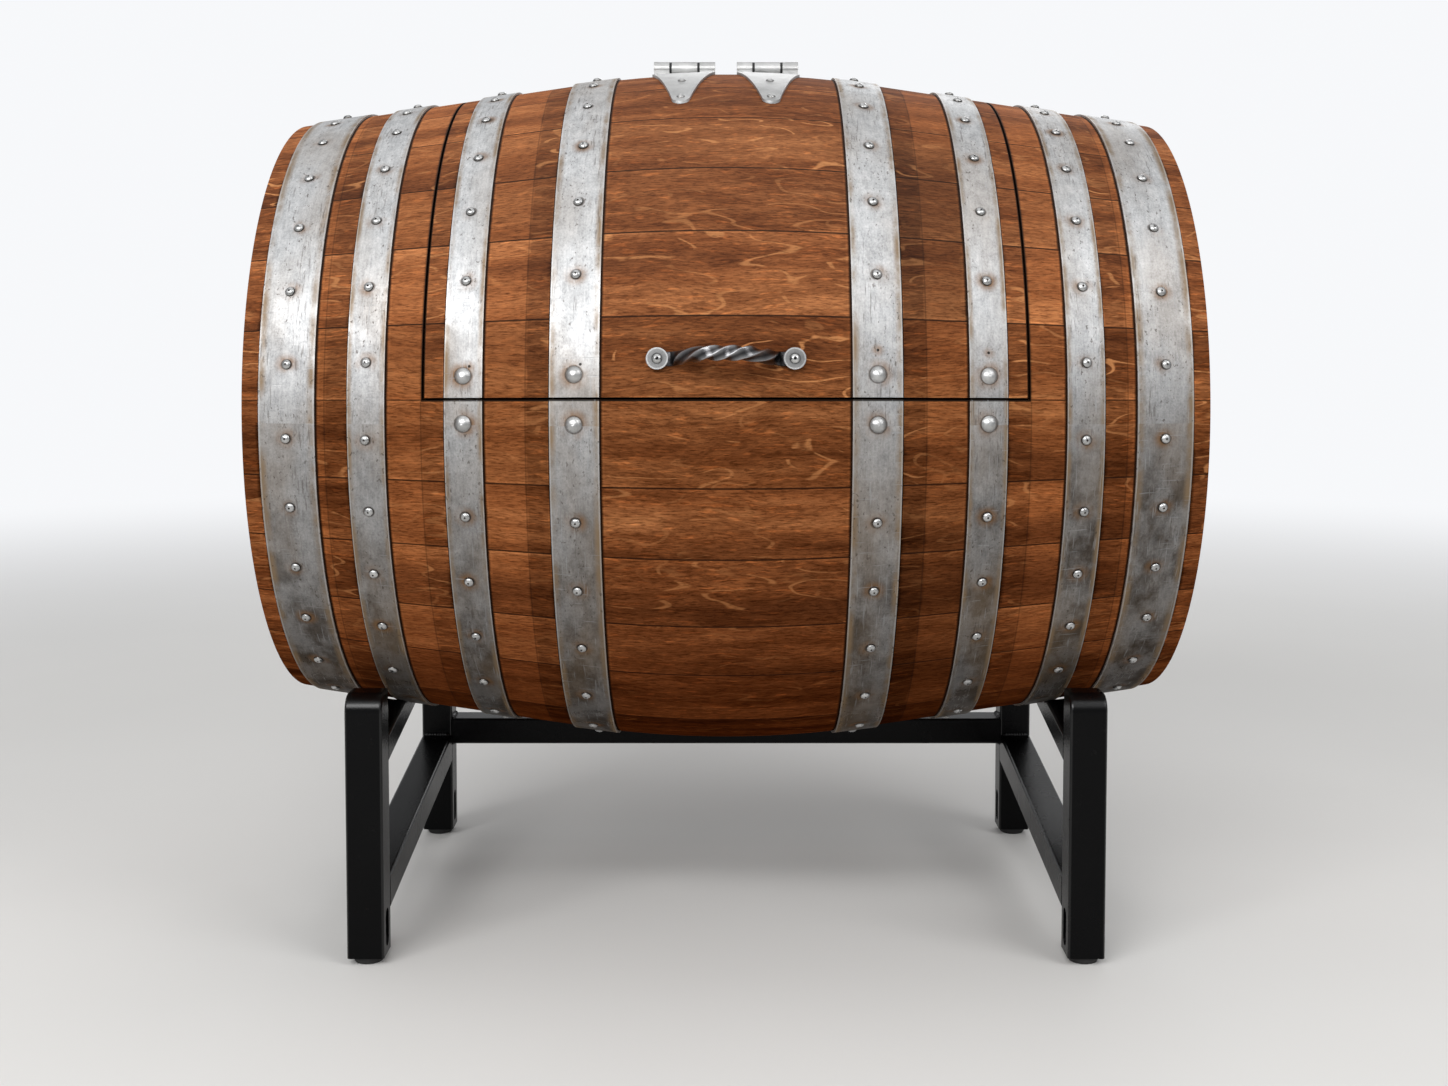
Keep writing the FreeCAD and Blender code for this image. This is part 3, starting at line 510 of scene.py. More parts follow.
@dataclass(frozen=True)
class Effects:
    """The shader groups that the finishes share."""

    barrel_place: Tree
    stave_identity: Tree
    hoop_contact: Tree
    lid_cut: Tree
    rosette_place: Tree
    board_identity: Tree
    oak_figure: Tree
    worn_steel: Tree
    mottle: Tree

    @classmethod
    def build(cls, form: BarrelForm) -> "Effects":
        """Write every group once.

        Args:
            form: The barrel.

        Returns:
            The groups.
        """
        return cls(
            barrel_place=cls.write_barrel_place(form),
            stave_identity=cls.write_stave_identity(form),
            hoop_contact=cls.write_hoop_contact(form),
            lid_cut=cls.write_lid_cut(form),
            rosette_place=cls.write_rosette_place(form),
            board_identity=cls.write_board_identity(),
            oak_figure=cls.write_oak_figure(),
            worn_steel=cls.write_worn_steel(),
            mottle=cls.write_mottle(),
        )

    @staticmethod
    def write_barrel_place(form: BarrelForm) -> Tree:
        """Barrel coordinates: place along, turn as a share of a circle, arc length, height over the skin.

        Args:
            form: The barrel.

        Returns:
            The group's tree.
        """
        group = Group("barrel_place", (), ("Along", "Turn", "Arc", "Lift"))
        g = group.graph
        x, y, z = g.parts(g.place())
        front = form.axis_y - y
        up = z - form.axis_z
        turn = (g.math("ARCTAN2", up, front) / (2 * math.pi) + 1.0).fract()
        reach = abs(x)
        near = reach.least(form.belly_half)
        fall = (reach - near) * form.slope + near * near / (2 * form.belly_arc)
        skin = form.bilge_radius - fall
        return group.put(Along=x, Turn=turn, Arc=turn * form.girth, Lift=front.beside(up) - skin)

    @staticmethod
    def write_stave_identity(form: BarrelForm) -> Tree:
        """Numbers that hold over one stave, and how far a point lies from its seams and its middle line.

        Each seam that a point has passed adds one to its stave's number, and the step from the last stave to
        this one to the seam below it, the seam above it and its tone.

        Args:
            form: The barrel.

        Returns:
            The group's tree.
        """
        group = Group("stave_identity", ("Turn",), ("Tone", "Shift", "Ray", "Edge", "Off"))
        g = group.graph
        turn = group.given["Turn"]
        lid = form.lid_seams()[:-1]
        body = np.mod(form.body_seams()[1:], 360.0)
        starts = np.sort(np.concatenate([lid, body])) / 360.0
        tones = form.stave_tones(len(starts))
        number, low, high, tone = 0.0, float(starts[-1]) - 1.0, float(starts[0]), float(tones[0])
        lows = np.diff(starts, prepend=starts[-1] - 1.0)
        highs = np.diff(starts, append=starts[0] + 1.0)
        changes = np.diff(tones, append=tones[0])
        for start, rise, next_rise, change in np.stack([starts, lows, highs, changes], -1).tolist():
            past = turn > start
            number = past + number
            low = g.math("MULTIPLY_ADD", past, rise, low)
            high = g.math("MULTIPLY_ADD", past, next_rise, high)
            tone = g.math("MULTIPLY_ADD", past, change, tone)
        number = g.math("MODULO", number, float(len(starts)))
        shift, ray = (g.draw(number + offset) for offset in form.draw_offsets)
        over = turn - low
        under = high - turn
        edge = over.least(under) * form.girth
        return group.put(Tone=tone, Shift=shift, Ray=ray, Edge=edge, Off=(over - under) * (form.girth / 2))

    @staticmethod
    def write_hoop_contact(form: BarrelForm) -> Tree:
        """Lines on the oak along the hoops: a painted shadow line and then a painted highlight line, and thin
        stain lines where older stain ends.

        The painted shadow lines are broader on the side of the barrel's middle.

        Args:
            form: The barrel.

        Returns:
            The group's tree.
        """
        group = Group("hoop_contact", ("Along",), ("Dark", "Pale", "Line"))
        g = group.graph
        away = abs(group.given["Along"])
        inward, outward = form.shadow_widths
        near = line = FAR
        for inner, outer in form.hoop_edges():
            near = ((inner - away) / inward).most((away - outer) / outward).least(near)
        for edge in form.stain_edges:
            line = abs(away - edge).least(line)
        return group.put(
            # painted shadow line on the oak beside each hoop
            Dark=g.fade(near, 0.55, 1.05),
            # painted highlight line just beyond the painted shadow line beside each hoop
            Pale=g.remap(near, 1.0, 1.3) * g.fade(near, 1.5, 2.1),
            Line=g.fade(line, 0.3 * MM, 1.0 * MM),
        )

    @staticmethod
    def write_lid_cut(form: BarrelForm) -> Tree:
        """The dark line of the saw cuts under the lid and at its two ends.

        Args:
            form: The barrel.

        Returns:
            The group's tree.
        """
        group = Group("lid_cut", ("Along", "Turn"), ("Dark",))
        g = group.graph
        turn = group.given["Turn"]
        away = abs(group.given["Along"]) - form.lid_half
        below = (turn - form.lid_low / 360.0) * form.girth
        above = (turn - form.lid_high / 360.0) * form.girth
        outside = away.most((0.0 - below).most(above))
        near = abs(away).least(abs(below)).most(outside)
        return group.put(Dark=g.fade(near, 0.65 * form.kerf, form.kerf))

    @staticmethod
    def write_rosette_place(form: BarrelForm) -> Tree:
        """Distance from the middle of the nearer of the handle's two rosettes.

        Args:
            form: The barrel.

        Returns:
            The group's tree.
        """
        group = Group("rosette_place", (), ("Away",))
        g = group.graph
        x, y, z = g.parts(g.place())
        lean = math.radians(form.handle_turn)
        front = (form.axis_y - y) * math.sin(lean)
        across = (z - form.axis_z) * math.cos(lean) - front
        return group.put(Away=(abs(x) - form.handle_half).beside(across))

    @staticmethod
    def write_board_identity() -> Tree:
        """Numbers that hold over one of several equal boards side by side, and how far its joints are.

        Returns:
            The group's tree.
        """
        group = Group("board_identity", ("Place", "Low", "Width"), ("Tone", "Shift", "Ray", "Edge"))
        g = group.graph
        place, low, width = (group.given[name] for name in group.inputs)
        share = (place - low) / width
        cell = g.math("FLOOR", share)
        tone, shift, ray = (g.draw(cell + offset) for offset in BOARD_DRAWS)
        over = share - cell
        return group.put(Tone=tone, Shift=shift, Ray=ray, Edge=over.least(1.0 - over) * width)

    @staticmethod
    def write_oak_figure() -> Tree:
        """Oak: streaks, mottling, fine fibre, dashes, open pores and pale wavy ray lines, with their height.

        The ray lines and curls are contour lines of clouds stretched along the grain. Two more clouds break
        up the ray lines. Each board reads the clouds at places shifted by a draw of its own.

        Returns:
            The group's tree.
        """
        group = Group(
            "oak_figure",
            ("Along", "Across", "Depth", "Shift", "Ray"),
            ("Streak", "Mottle", "Fibre", "Fleck", "Curl", "Dash", "Pore", "Height"),
        )
        g = group.graph
        given = group.given
        along = given["Shift"] * 9.0 + given["Along"]
        layer = given["Shift"] * 31.0
        sway = g.noise(g.point(along, given["Across"], layer), 7.0, 3.0)
        across = (sway - 0.5) * 0.022 + given["Across"]

        def cloud(long: float, wide: float, detail: float, roughness: float = 0.5) -> Value:
            """A cloud with so many cells a metre along and across the grain."""
            spot = g.point(along * long, across * wide, given["Depth"] * wide + layer)
            return g.noise(spot, 1.0, detail, roughness)

        def contours(hills: Value, count: float, thin: float, broad: float) -> Value:
            """Lines of equal height over a cloud, so many from its floor to its top."""
            return g.fade(abs((hills * count).fract() - 0.5), thin, broad)

        fibre = cloud(85.0, 640.0, 3.0, 0.75)
        rays = contours(cloud(10.0, 34.0, 1.2), 5.0, 0.02, 0.075)
        broken = g.remap(cloud(18.0, 64.0, 2.0, 0.6), 0.46, 0.52)
        patch = g.remap(cloud(5.0, 18.0, 2.0), 0.36, 0.54)
        fleck = rays * broken * (patch * g.remap(given["Ray"], 0.0, 1.0, 0.45, 1.0))
        curl = contours(cloud(14.0, 30.0, 1.5), 4.0, 0.03, 0.08)
        pore = g.remap(cloud(130.0, 900.0, 2.0, 0.6), 0.54, 0.66)
        return group.put(
            Streak=g.remap(cloud(1.6, 18.0, 4.0, 0.6), 0.28, 0.72),
            Mottle=g.remap(cloud(14.0, 70.0, 5.0, 0.68), 0.36, 0.64),
            Fibre=g.remap(fibre, 0.28, 0.72),
            Fleck=fleck,
            Curl=curl * g.remap(cloud(12.0, 24.0, 2.0), 0.53, 0.63),
            Dash=g.remap(cloud(55.0, 300.0, 2.0, 0.6), 0.58, 0.68),
            Pore=pore,
            Height=fleck * 0.15 + (fibre * 0.5 - pore * 0.55),
        )

    @staticmethod
    def write_worn_steel() -> Tree:
        """Rolled steel: faint rolling lines, speckle, scratches, dark streaks, nicks and cloudy staining.

        Returns:
            The group's tree.
        """
        group = Group(
            "worn_steel",
            ("Around", "Across", "Depth"),
            ("Grain", "Scratch", "Streak", "Cloud", "Film", "Nick", "Height"),
        )
        g = group.graph
        around, across, depth = (group.given[name] for name in group.inputs)

        def cloud(long: float, wide: float, detail: float, roughness: float = 0.5) -> Value:
            """A cloud with so many cells a metre round and across the band."""
            spot = g.point(around * long, across * wide, depth * 60.0)
            return g.noise(spot, 1.0, detail, roughness)

        speckle = cloud(420.0, 520.0, 3.0, 0.7)
        spangle = cloud(75.0, 95.0, 4.0, 0.65)
        rolled = cloud(40.0, 420.0, 3.0, 0.6)
        grain = rolled * 0.2 + (spangle * 0.4 + speckle * 0.4)
        lines = g.remap(cloud(30.0, 560.0, 1.0), 0.66, 0.71)
        ticks = g.remap(cloud(480.0, 36.0, 1.0), 0.69, 0.74)
        scratch = lines.most(ticks)
        smears = g.remap(cloud(48.0, 480.0, 2.0, 0.65), 0.57, 0.65)
        pits = g.remap(cloud(190.0, 330.0, 3.0, 0.6), 0.61, 0.67)
        nick = pits * g.remap(cloud(9.0, 40.0, 2.0), 0.40, 0.54)
        return group.put(
            Grain=grain,
            Scratch=scratch,
            Streak=smears * g.remap(cloud(7.0, 45.0, 2.0), 0.50, 0.60),
            Cloud=g.remap(cloud(20.0, 30.0, 5.0, 0.62), 0.36, 0.66),
            Film=g.remap(cloud(6.0, 14.0, 3.0, 0.55), 0.40, 0.68),
            Nick=nick,
            Height=grain * 0.4 - scratch.most(nick) * 0.5,
        )

    @staticmethod
    def write_mottle() -> Tree:
        """Plain unevenness of a coat: broad clouds, a fine skin and rare scuffs.

        Returns:
            The group's tree.
        """
        group = Group("mottle", ("Scale",), ("Cloud", "Skin", "Scuff"))
        g = group.graph
        scale = group.given["Scale"]
        place = g.point(*(part * scale for part in g.parts(g.place())))
        return group.put(
            Cloud=g.noise(place, 1.0, 4.0, 0.6),
            Skin=g.noise(place, 38.0, 2.0),
            Scuff=g.remap(g.noise(place, 9.0, 6.0, 0.75), 0.62, 0.72),
        )


def new_material(name: str) -> tuple[Material, Graph, Node]:
    """An empty material with one shader.

    Args:
        name: Name of the material.

    Returns:
        The material, its graph and its shader node.
    """
    material = bpy.data.materials.new(name)
    material.use_nodes = True
    return material, Graph(material.node_tree), material.node_tree.nodes["Principled BSDF"]


def add_bump(g: Graph, shader: Node, height: Value, distance: float, strength: float) -> None:
    """Give a shader fine relief.

    Args:
        g: The material's graph.
        shader: The shader that gets the normal.
        height: Relief as a value.
        distance: Depth of the relief in metres.
        strength: Share of it that shows.
    """
    bump = g.fill_named(g.add("ShaderNodeBump"), Height=height, Distance=distance, Strength=strength)
    g.feed(shader.inputs["Normal"], bump["Normal"])


@dataclass(frozen=True)
class Boards:
    """A row of equal boards: the lowest edge across and the width of one."""

    low: float
    width: float

    @classmethod
    def across(cls, node: str, count: int) -> "Boards":
        """Boards that divide a node's depth, front to rear."""
        low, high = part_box(node)
        return cls(low[1], (high[1] - low[1]) / count)


@dataclass(frozen=True)
class Timber:
    """Where the points of a wooden piece lie, and the board and the figure they have there."""

    g: Graph
    x: Value
    z: Value
    turn: Value
    along: Value
    depth: Value
    board: dict[str, Value]
    oak: dict[str, Value]

    @classmethod
    def read(cls, g: Graph, effects: Effects, grain: Grain, boards: Boards) -> "Timber":
        """Place the shared groups for boards that run one way.

        Args:
            g: The material's graph.
            effects: Shared groups.
            grain: Which way the boards run.
            boards: How they lie side by side, where they aren't staves.

        Returns:
            The timber.
        """
        spot = g.use(effects.barrel_place)
        x, y, z = g.parts(g.place())
        if grain is Grain.STAVE:
            along, across, depth = spot["Along"], spot["Arc"], spot["Lift"]
            board = g.use(effects.stave_identity, Turn=spot["Turn"])
        else:
            along, across, depth = (z, y, x) if grain is Grain.UPRIGHT else (x, y, z)
            board = g.use(effects.board_identity, Place=y, Low=boards.low, Width=boards.width)
        draws = {name: board[name] for name in ("Shift", "Ray")}
        oak = g.use(effects.oak_figure, Along=along, Across=across, Depth=depth, **draws)
        return cls(g, x, z, spot["Turn"], along, depth, board, oak)


@dataclass(frozen=True)
class OakFinish:
    """Oiled oak with its figure, toned board by board.

    Bands give places from the middle of the barrel in millimetres, each with a tone, the strength of the
    figure and a warmth. Depths are counted from the barrel's skin, inwards with a minus.
    """

    name: str
    deep: Colour
    middle: Colour
    pale: Colour
    fleck: Colour
    grain: Grain
    boards: Boards = Boards(0.0, 1.0)
    bands: tuple[Row, ...] = ()
    roughness: float = 0.66
    fibre_gloss: float = 0.14
    specular: float = 0.08
    polish: float = 0.36
    polish_span: Pair = (-50.0 * MM, 340.0 * MM)
    relief: float = 0.8 * MM
    bump: float = 0.5
    mottling: float = 0.75
    fibre: float = 0.95
    dashes: float = 0.6
    pores: float = 0.6
    rays: float = 0.74
    # share of the painted highlight along the eased edges and beside the hoops
    highlight_share: float = 0.55
    shaded: float = 0.46
    band_wander: float = 4.0 * MM
    # how far up the painted shade towards the floor reaches, and how it falls off
    low_shade_reach: float = 50.0 * MM
    low_shade_fall: float = 1.7
    cut_margin: float = 0.7
    seam: Fade = (0.2 * MM, 1.1 * MM, 0.7)
    joint: Fade = (0.3 * MM, 1.3 * MM, 0.75)
    ease_from: Pair = (0.8 * MM, 1.4 * MM)
    ease_to: Pair = (1.8 * MM, 3.0 * MM)
    # share of the painted shadow line beside each hoop
    hoop_shadow: float = 0.9
    stain_line: float = 0.35
    sawn_depth: Pair = (-4.0 * MM, -1.5 * MM)
    sawn_fibre: float = 0.7
    inside_depth: Pair = (-24.5 * MM, -23.5 * MM)
    inside_fibre: float = 0.8
    cut_depth: Pair = (-10.0 * MM, -5.0 * MM)
    curl_step: Step = (0.8, 1.3, 0.15, 0.4)
    ray_step: Step = (0.4, 1.0, 0.5, 1.0)
    tones: tuple[Colour, Colour, Colour] = ((0.67, 0.65, 0.63), WHITE, (1.2, 1.18, 1.15))
    fibre_tones: tuple[Colour, Colour, Colour] = ((0.58, 0.53, 0.48), WHITE, (1.3, 1.3, 1.27))
    raw: Colour = (0.34, 0.17, 0.075)
    toasted: Colour = (0.17, 0.075, 0.03)
    mottled: Colour = (0.52, 0.45, 0.40)
    warmed: Colour = (1.10, 1.04, 0.95)
    # painted shade: the staves darker towards the floor
    low_shade: Colour = (0.31, 0.20, 0.12)
    dashed: Colour = (1.6, 1.52, 1.4)
    pored: Colour = (0.34, 0.27, 0.22)
    charred: Colour = (0.42, 0.38, 0.34)
    # colour of the painted highlight along eased stave edges and beside the hoops
    eased_highlight: Colour = (1.7, 1.75, 1.8)
    # dark of seams and joints, and of the painted shadow lines beside the hoops
    contact: Colour = (0.014, 0.007, 0.004)

    def material(self, effects: Effects, form: BarrelForm) -> Material:
        """Write the material.

        Args:
            effects: Shared groups.
            form: The barrel the staves belong to.

        Returns:
            The material.
        """
        material, g, shader = new_material(self.name)
        wood = Timber.read(g, effects, self.grain, self.boards)
        oak, edge = wood.oak, wood.board["Edge"]
        fibres = g.between(oak["Fibre"], *self.fibre_tones)
        toned = g.between(wood.board["Tone"], *self.tones)
        mottle, dash = oak["Mottle"] * self.mottling, oak["Dash"] * self.dashes
        fleck, ray = oak["Fleck"], self.fleck
        colour = g.between(oak["Streak"], self.deep, self.middle, self.pale)
        colour = g.tint(g.tint(colour, fibres, self.fibre), toned)
        if self.bands:
            tone, figure, warmth = self.read_bands(wood, form)
            colour = g.tint(g.tint(colour, g.grey(tone)), self.warmed, warmth)
            mottle, dash = mottle * figure, oak["Dash"] * figure
            fleck = (fleck * figure).most(oak["Curl"] * g.remap(figure, *self.curl_step))
            ray = g.tint(ray, g.grey(g.remap(tone, *self.ray_step)))
        colour = g.tint(colour, self.mottled, mottle)
        colour = g.tint(colour, self.dashed, dash)
        colour = g.mix(g.math("MULTIPLY", fleck, self.rays, clamp=True), colour, ray)
        colour = g.tint(colour, self.pored, oak["Pore"] * self.pores)
        shader.inputs["Specular IOR Level"].default_value = self.specular
        if self.grain is Grain.STAVE:
            seam = g.fade(edge, *self.seam)
            colour = self.weathered(wood, effects, form, colour, seam)
            colour = self.cut_through(wood, colour, fibres, toned)
            colour = self.parted(wood, effects, form, colour, seam)
            low, high = (form.axis_z + height for height in self.polish_span)
            shader.inputs["Coat Roughness"].default_value = self.roughness
            g.feed(shader.inputs["Coat Weight"], g.remap(wood.z, low, high, 0.0, self.polish))
        if self.grain is Grain.UPRIGHT:
            colour = g.mix(g.fade(edge, *self.joint), colour, self.contact)
        g.feed(shader.inputs["Base Color"], colour)
        rough = oak["Fibre"] * self.fibre_gloss + (self.roughness - self.fibre_gloss / 2)
        g.feed(shader.inputs["Roughness"], rough)
        add_bump(g, shader, oak["Height"], self.relief, self.bump)
        return material

    def read_bands(self, wood: Timber, form: BarrelForm) -> tuple[Value, Value, Value]:
        """Tone, strength of figure and warmth where hoops sit or once sat.

        The tone comes darker over a short length at the right, above and below the front of the barrel.

        Args:
            wood: The timber.
            form: The barrel.

        Returns:
            The three values.
        """
        g = wood.g
        wander = (wood.oak["Streak"] - 0.5) * self.band_wander + abs(wood.along)
        stops = [(place * MM / form.half_length, look) for place, *look in self.bands]
        tone, figure, warmth = g.parts(g.ramp(wander / form.half_length, stops))
        inner, outer = form.shaded_span
        degrees = wood.turn * 360.0
        spread = 0.0
        for start, fading, gone, share in form.shaded_turns:
            spread = ((degrees > start) * g.fade(degrees, fading, gone, share)).most(spread)
        shaded = (wood.x > inner) * (wood.x < outer) * spread * self.shaded
        return tone * (1.0 - shaded), figure, warmth

    def weathered(
        self, wood: Timber, effects: Effects, form: BarrelForm, colour: Value, seam: Value
    ) -> Value:
        """A stave's skin: painted shade low down, a painted highlight along its eased edges and beside the
        hoops, and dark along seams, with a painted shadow line beside each hoop and thin stain lines.

        Args:
            wood: The timber.
            effects: Shared groups.
            form: The barrel.
            colour: Colour so far.
            seam: How dark the seams are.

        Returns:
            The weathered colour.
        """
        g, edge = wood.g, wood.board["Edge"]
        # painted shade, darker towards the floor
        low = g.fade(wood.z, form.axis_z - form.bilge_radius, form.axis_z + self.low_shade_reach)
        colour = g.tint(colour, self.low_shade, low**self.low_shade_fall)
        hoop = g.use(effects.hoop_contact, Along=wood.along)
        # painted highlight along the eased edges of each stave and beside the hoops
        eased_highlight = g.remap(edge, *self.ease_from) * g.fade(edge, *self.ease_to)
        eased_highlight = eased_highlight.most(hoop["Pale"]) * wood.oak["Streak"]
        colour = g.tint(colour, self.eased_highlight, eased_highlight * self.highlight_share)
        # painted shadow line beside each hoop and thin stain lines, laid on with the dark seams
        lines = (hoop["Dark"] * self.hoop_shadow).most(hoop["Line"] * self.stain_line)
        return g.mix(seam.most(lines), colour, self.contact)

    def cut_through(self, wood: Timber, colour: Value, fibres: Value, toned: Value) -> Value:
        """A stave's other faces: raw oak where it is sawn, and toasted oak on the inside.

        Args:
            wood: The timber.
            colour: Colour so far.
            fibres: Brightness of the fibres.
            toned: Brightness of the board.

        Returns:
            The colour of all faces.
        """
        g = wood.g
        sawn = g.tint(self.raw, fibres, self.sawn_fibre)
        colour = g.mix(g.fade(wood.depth, *self.sawn_depth), colour, sawn)
        _, even, high = self.tones
        char = g.ramp(wood.oak["Streak"], ((0.0, self.charred), (0.6, even), (1.0, high)))
        inside = g.tint(g.tint(g.tint(self.toasted, fibres, self.inside_fibre), char), toned)
        return g.mix(g.fade(wood.depth, *self.inside_depth), colour, inside)

    def parted(self, wood: Timber, effects: Effects, form: BarrelForm, colour: Value, seam: Value) -> Value:
        """Dark seams on every face but the lid's cuts, and the dark line of those cuts at the skin.

        Args:
            wood: The timber.
            effects: Shared groups.
            form: The barrel.
            colour: Colour so far.
            seam: How dark the seams are.

        Returns:
            The colour with its dark lines.
        """
        g = wood.g
        uncut = 1.0
        for cut in (form.lid_low, form.lid_high):
            uncut = (abs(wood.turn - cut / 360.0) > self.cut_margin / 360.0) * uncut
        colour = g.mix(seam * uncut, colour, self.contact)
        dark = g.use(effects.lid_cut, Along=wood.along, Turn=wood.turn)["Dark"]
        return g.mix(dark * g.remap(wood.depth, *self.cut_depth), colour, self.contact)


@dataclass(frozen=True)
class BandFinish:
    """Galvanised hoop steel: brushed, scratched, browned along its edges with a painted highlight there, and
    darker low down and on the lower outer hoops at the right, partly tarnish and partly painted shade.

    Heights are counted from the barrel's axis. Old holes give a side, a place across and a height over
    the bolt.
    """

    name: str
    dark: Colour
    middle: Colour
    bright: Colour
    stain: Colour
    # colour of tarnish and of painted shade low down and at the right
    tarnish_and_shade: Colour
    centre: float = 0.0
    half_width: float = 0.0
    roughness: float = 0.47
    metallic: float = 0.8
    patchy: float = 0.16
    relief: float = 0.4 * MM
    bump: float = 0.35
    # darker towards the floor, partly tarnish and partly painted shade
    low: Fade = (-260.0 * MM, 220.0 * MM, 1.0)
    low_patchy: float = 0.3
    # painted shade on the lower part of the outer hoops at the right
    right_shade_span: Pair = (120.0 * MM, 320.0 * MM)
    right_shade_low: Fade = (-60.0 * MM, 50.0 * MM, 0.32)
    edge_stain: Pair = (0.66, 0.90)
    edge_patchy: Pair = (0.85, 0.1)
    # painted highlight along each hoop's edges
    edge_highlight: Step = (0.93, 0.96, 0.0, 0.28)
    seat_rust: Fade = (4.0 * MM, 14.0 * MM, 0.9)
    # painted shadow ring round each rivet or bolt seat
    seat_shadow: Fade = (4.8 * MM, 6.2 * MM, 0.7)
    hole_rust: Fade = (1.0 * MM, 8.0 * MM, 0.8)
    hole_dark: Fade = (1.0 * MM, 1.6 * MM, 0.95)
    cut_dark: Fade = (1.1 * MM, 1.7 * MM, 0.9)
    film: float = 0.30
    nicks: float = 0.65
    streaks: float = 0.45
    scratches: float = 0.35
    rust: Colour = (0.20, 0.105, 0.045)
    # dark of nicks and streaks, and of the painted shadow rings round rivets and bolts
    grime_and_shadow: Colour = (0.06, 0.045, 0.035)
    hole: Colour = (0.012, 0.009, 0.007)
    sawn: bool = False
    bolt_seat: float = 3.0 * MM
    old_holes: tuple[Place, ...] = ((-1.0, 5.6 * MM, 9.0 * MM), (1.0, 0.0, 22.0 * MM))

    def material(self, effects: Effects, form: BarrelForm) -> Material:
        """Write the material, with the wear of a band if it has a width.

        Args:
            effects: Shared groups.
            form: The barrel the band goes round.

        Returns:
            The material.
        """
        material, g, shader = new_material(self.name)
        spot = g.use(effects.barrel_place)
        steel = g.use(effects.worn_steel, Around=spot["Arc"], Across=spot["Along"], Depth=spot["Lift"])
        colour = g.ramp(steel["Grain"], ((0.38, self.dark), (0.5, self.middle), (0.62, self.bright)))
        # share of tarnish and painted shade
        low = self.tarnish_and_shade_share(g, form)
        clouded = steel["Cloud"] * self.low_patchy + (1.0 - self.low_patchy)
        colour = g.tint(colour, self.tarnish_and_shade, low * clouded)
        colour = g.mix(steel["Film"] * self.film, colour, self.stain)
        if self.half_width:
            colour = self.worn_band(effects, form, spot, steel["Cloud"], colour)
        marks = (steel["Nick"] * self.nicks).most(steel["Streak"] * self.streaks)
        colour = g.mix(marks, colour, self.grime_and_shadow)
        colour = g.mix(steel["Scratch"] * self.scratches, colour, self.dark)
        g.feed(shader.inputs["Base Color"], colour)
        # reflections dimmed and tinted by the same share: painted shade in them low down and at the right
        g.feed(shader.inputs["Specular Tint"], g.mix(low, WHITE, self.tarnish_and_shade))
        shader.inputs["Metallic"].default_value = self.metallic
        g.feed(shader.inputs["Roughness"], steel["Cloud"] * self.patchy + self.roughness)
        add_bump(g, shader, steel["Height"], self.relief, self.bump)
        return material

    def tarnish_and_shade_share(self, g: Graph, form: BarrelForm) -> Value:
        """Share of tarnish and painted shade: more towards the floor, partly each, and more again as painted
        shade on the outer hoops at the right.

        Args:
            g: The material's graph.
            form: The barrel.

        Returns:
            The share of tarnish and painted shade.
        """
        x, _, z = g.parts(g.place())
        height = z - form.axis_z
        right = g.remap(x, *self.right_shade_span) * g.fade(height, *self.right_shade_low)
        return g.math("ADD", g.fade(height, *self.low), right, clamp=True)

    def worn_band(
        self, effects: Effects, form: BarrelForm, spot: dict[str, Value], cloud: Value, colour: Value
    ) -> Value:
        """Stained edges with a painted highlight along them, rust and a painted shadow ring round each rivet
        or bolt, and the old holes and the cut of a sawn band.

        Args:
            effects: Shared groups.
            form: The barrel the band goes round.
            spot: Barrel coordinates.
            cloud: Unevenness of the stain.
            colour: Colour so far.

        Returns:
            The worn colour.
        """
        g = colour.graph
        offset = abs(abs(spot["Along"]) - self.centre)
        edge = offset / self.half_width
        patchy, least = self.edge_patchy
        colour = g.mix(g.remap(edge, *self.edge_stain) * (cloud * patchy + least), colour, self.stain)
        # painted highlight along each hoop's edges
        colour = g.mix(g.remap(edge, *self.edge_highlight), colour, self.bright)
        from_seat = g.use(effects.stave_identity, Turn=spot["Turn"])["Off"]
        seat = 0.0
        if self.sawn:
            past_cut = (spot["Turn"] - (form.lid_low / 360.0 - 0.5)).fract()
            from_cut = abs(past_cut - 0.5) * form.girth
            bolt = form.bolt_turn / 360.0 * form.girth
            by_bolt = from_cut < 3 * bolt
            from_seat = by_bolt * (from_cut - bolt - from_seat) + from_seat
            seat = by_bolt * self.bolt_seat
        away = offset.beside(from_seat) - seat
        colour = g.mix(g.fade(away, *self.seat_rust) * cloud, colour, self.rust)
        # painted shadow ring round each rivet or bolt
        colour = g.mix(g.fade(away, *self.seat_shadow), colour, self.grime_and_shadow)
        if not self.sawn:
            return colour
        hole = FAR
        for side, along, above in self.old_holes:
            across = spot["Along"] - (side * self.centre + along)
            turn = (form.lid_low + form.bolt_turn) / 360.0 + above / form.girth
            hole = across.beside((spot["Turn"] - turn) * form.girth).least(hole)
        colour = g.mix(g.fade(hole, *self.hole_rust) * cloud, colour, self.rust)
        dark = g.fade(hole, *self.hole_dark).most(g.fade(from_cut, *self.cut_dark))
        return g.mix(dark, colour, self.hole)


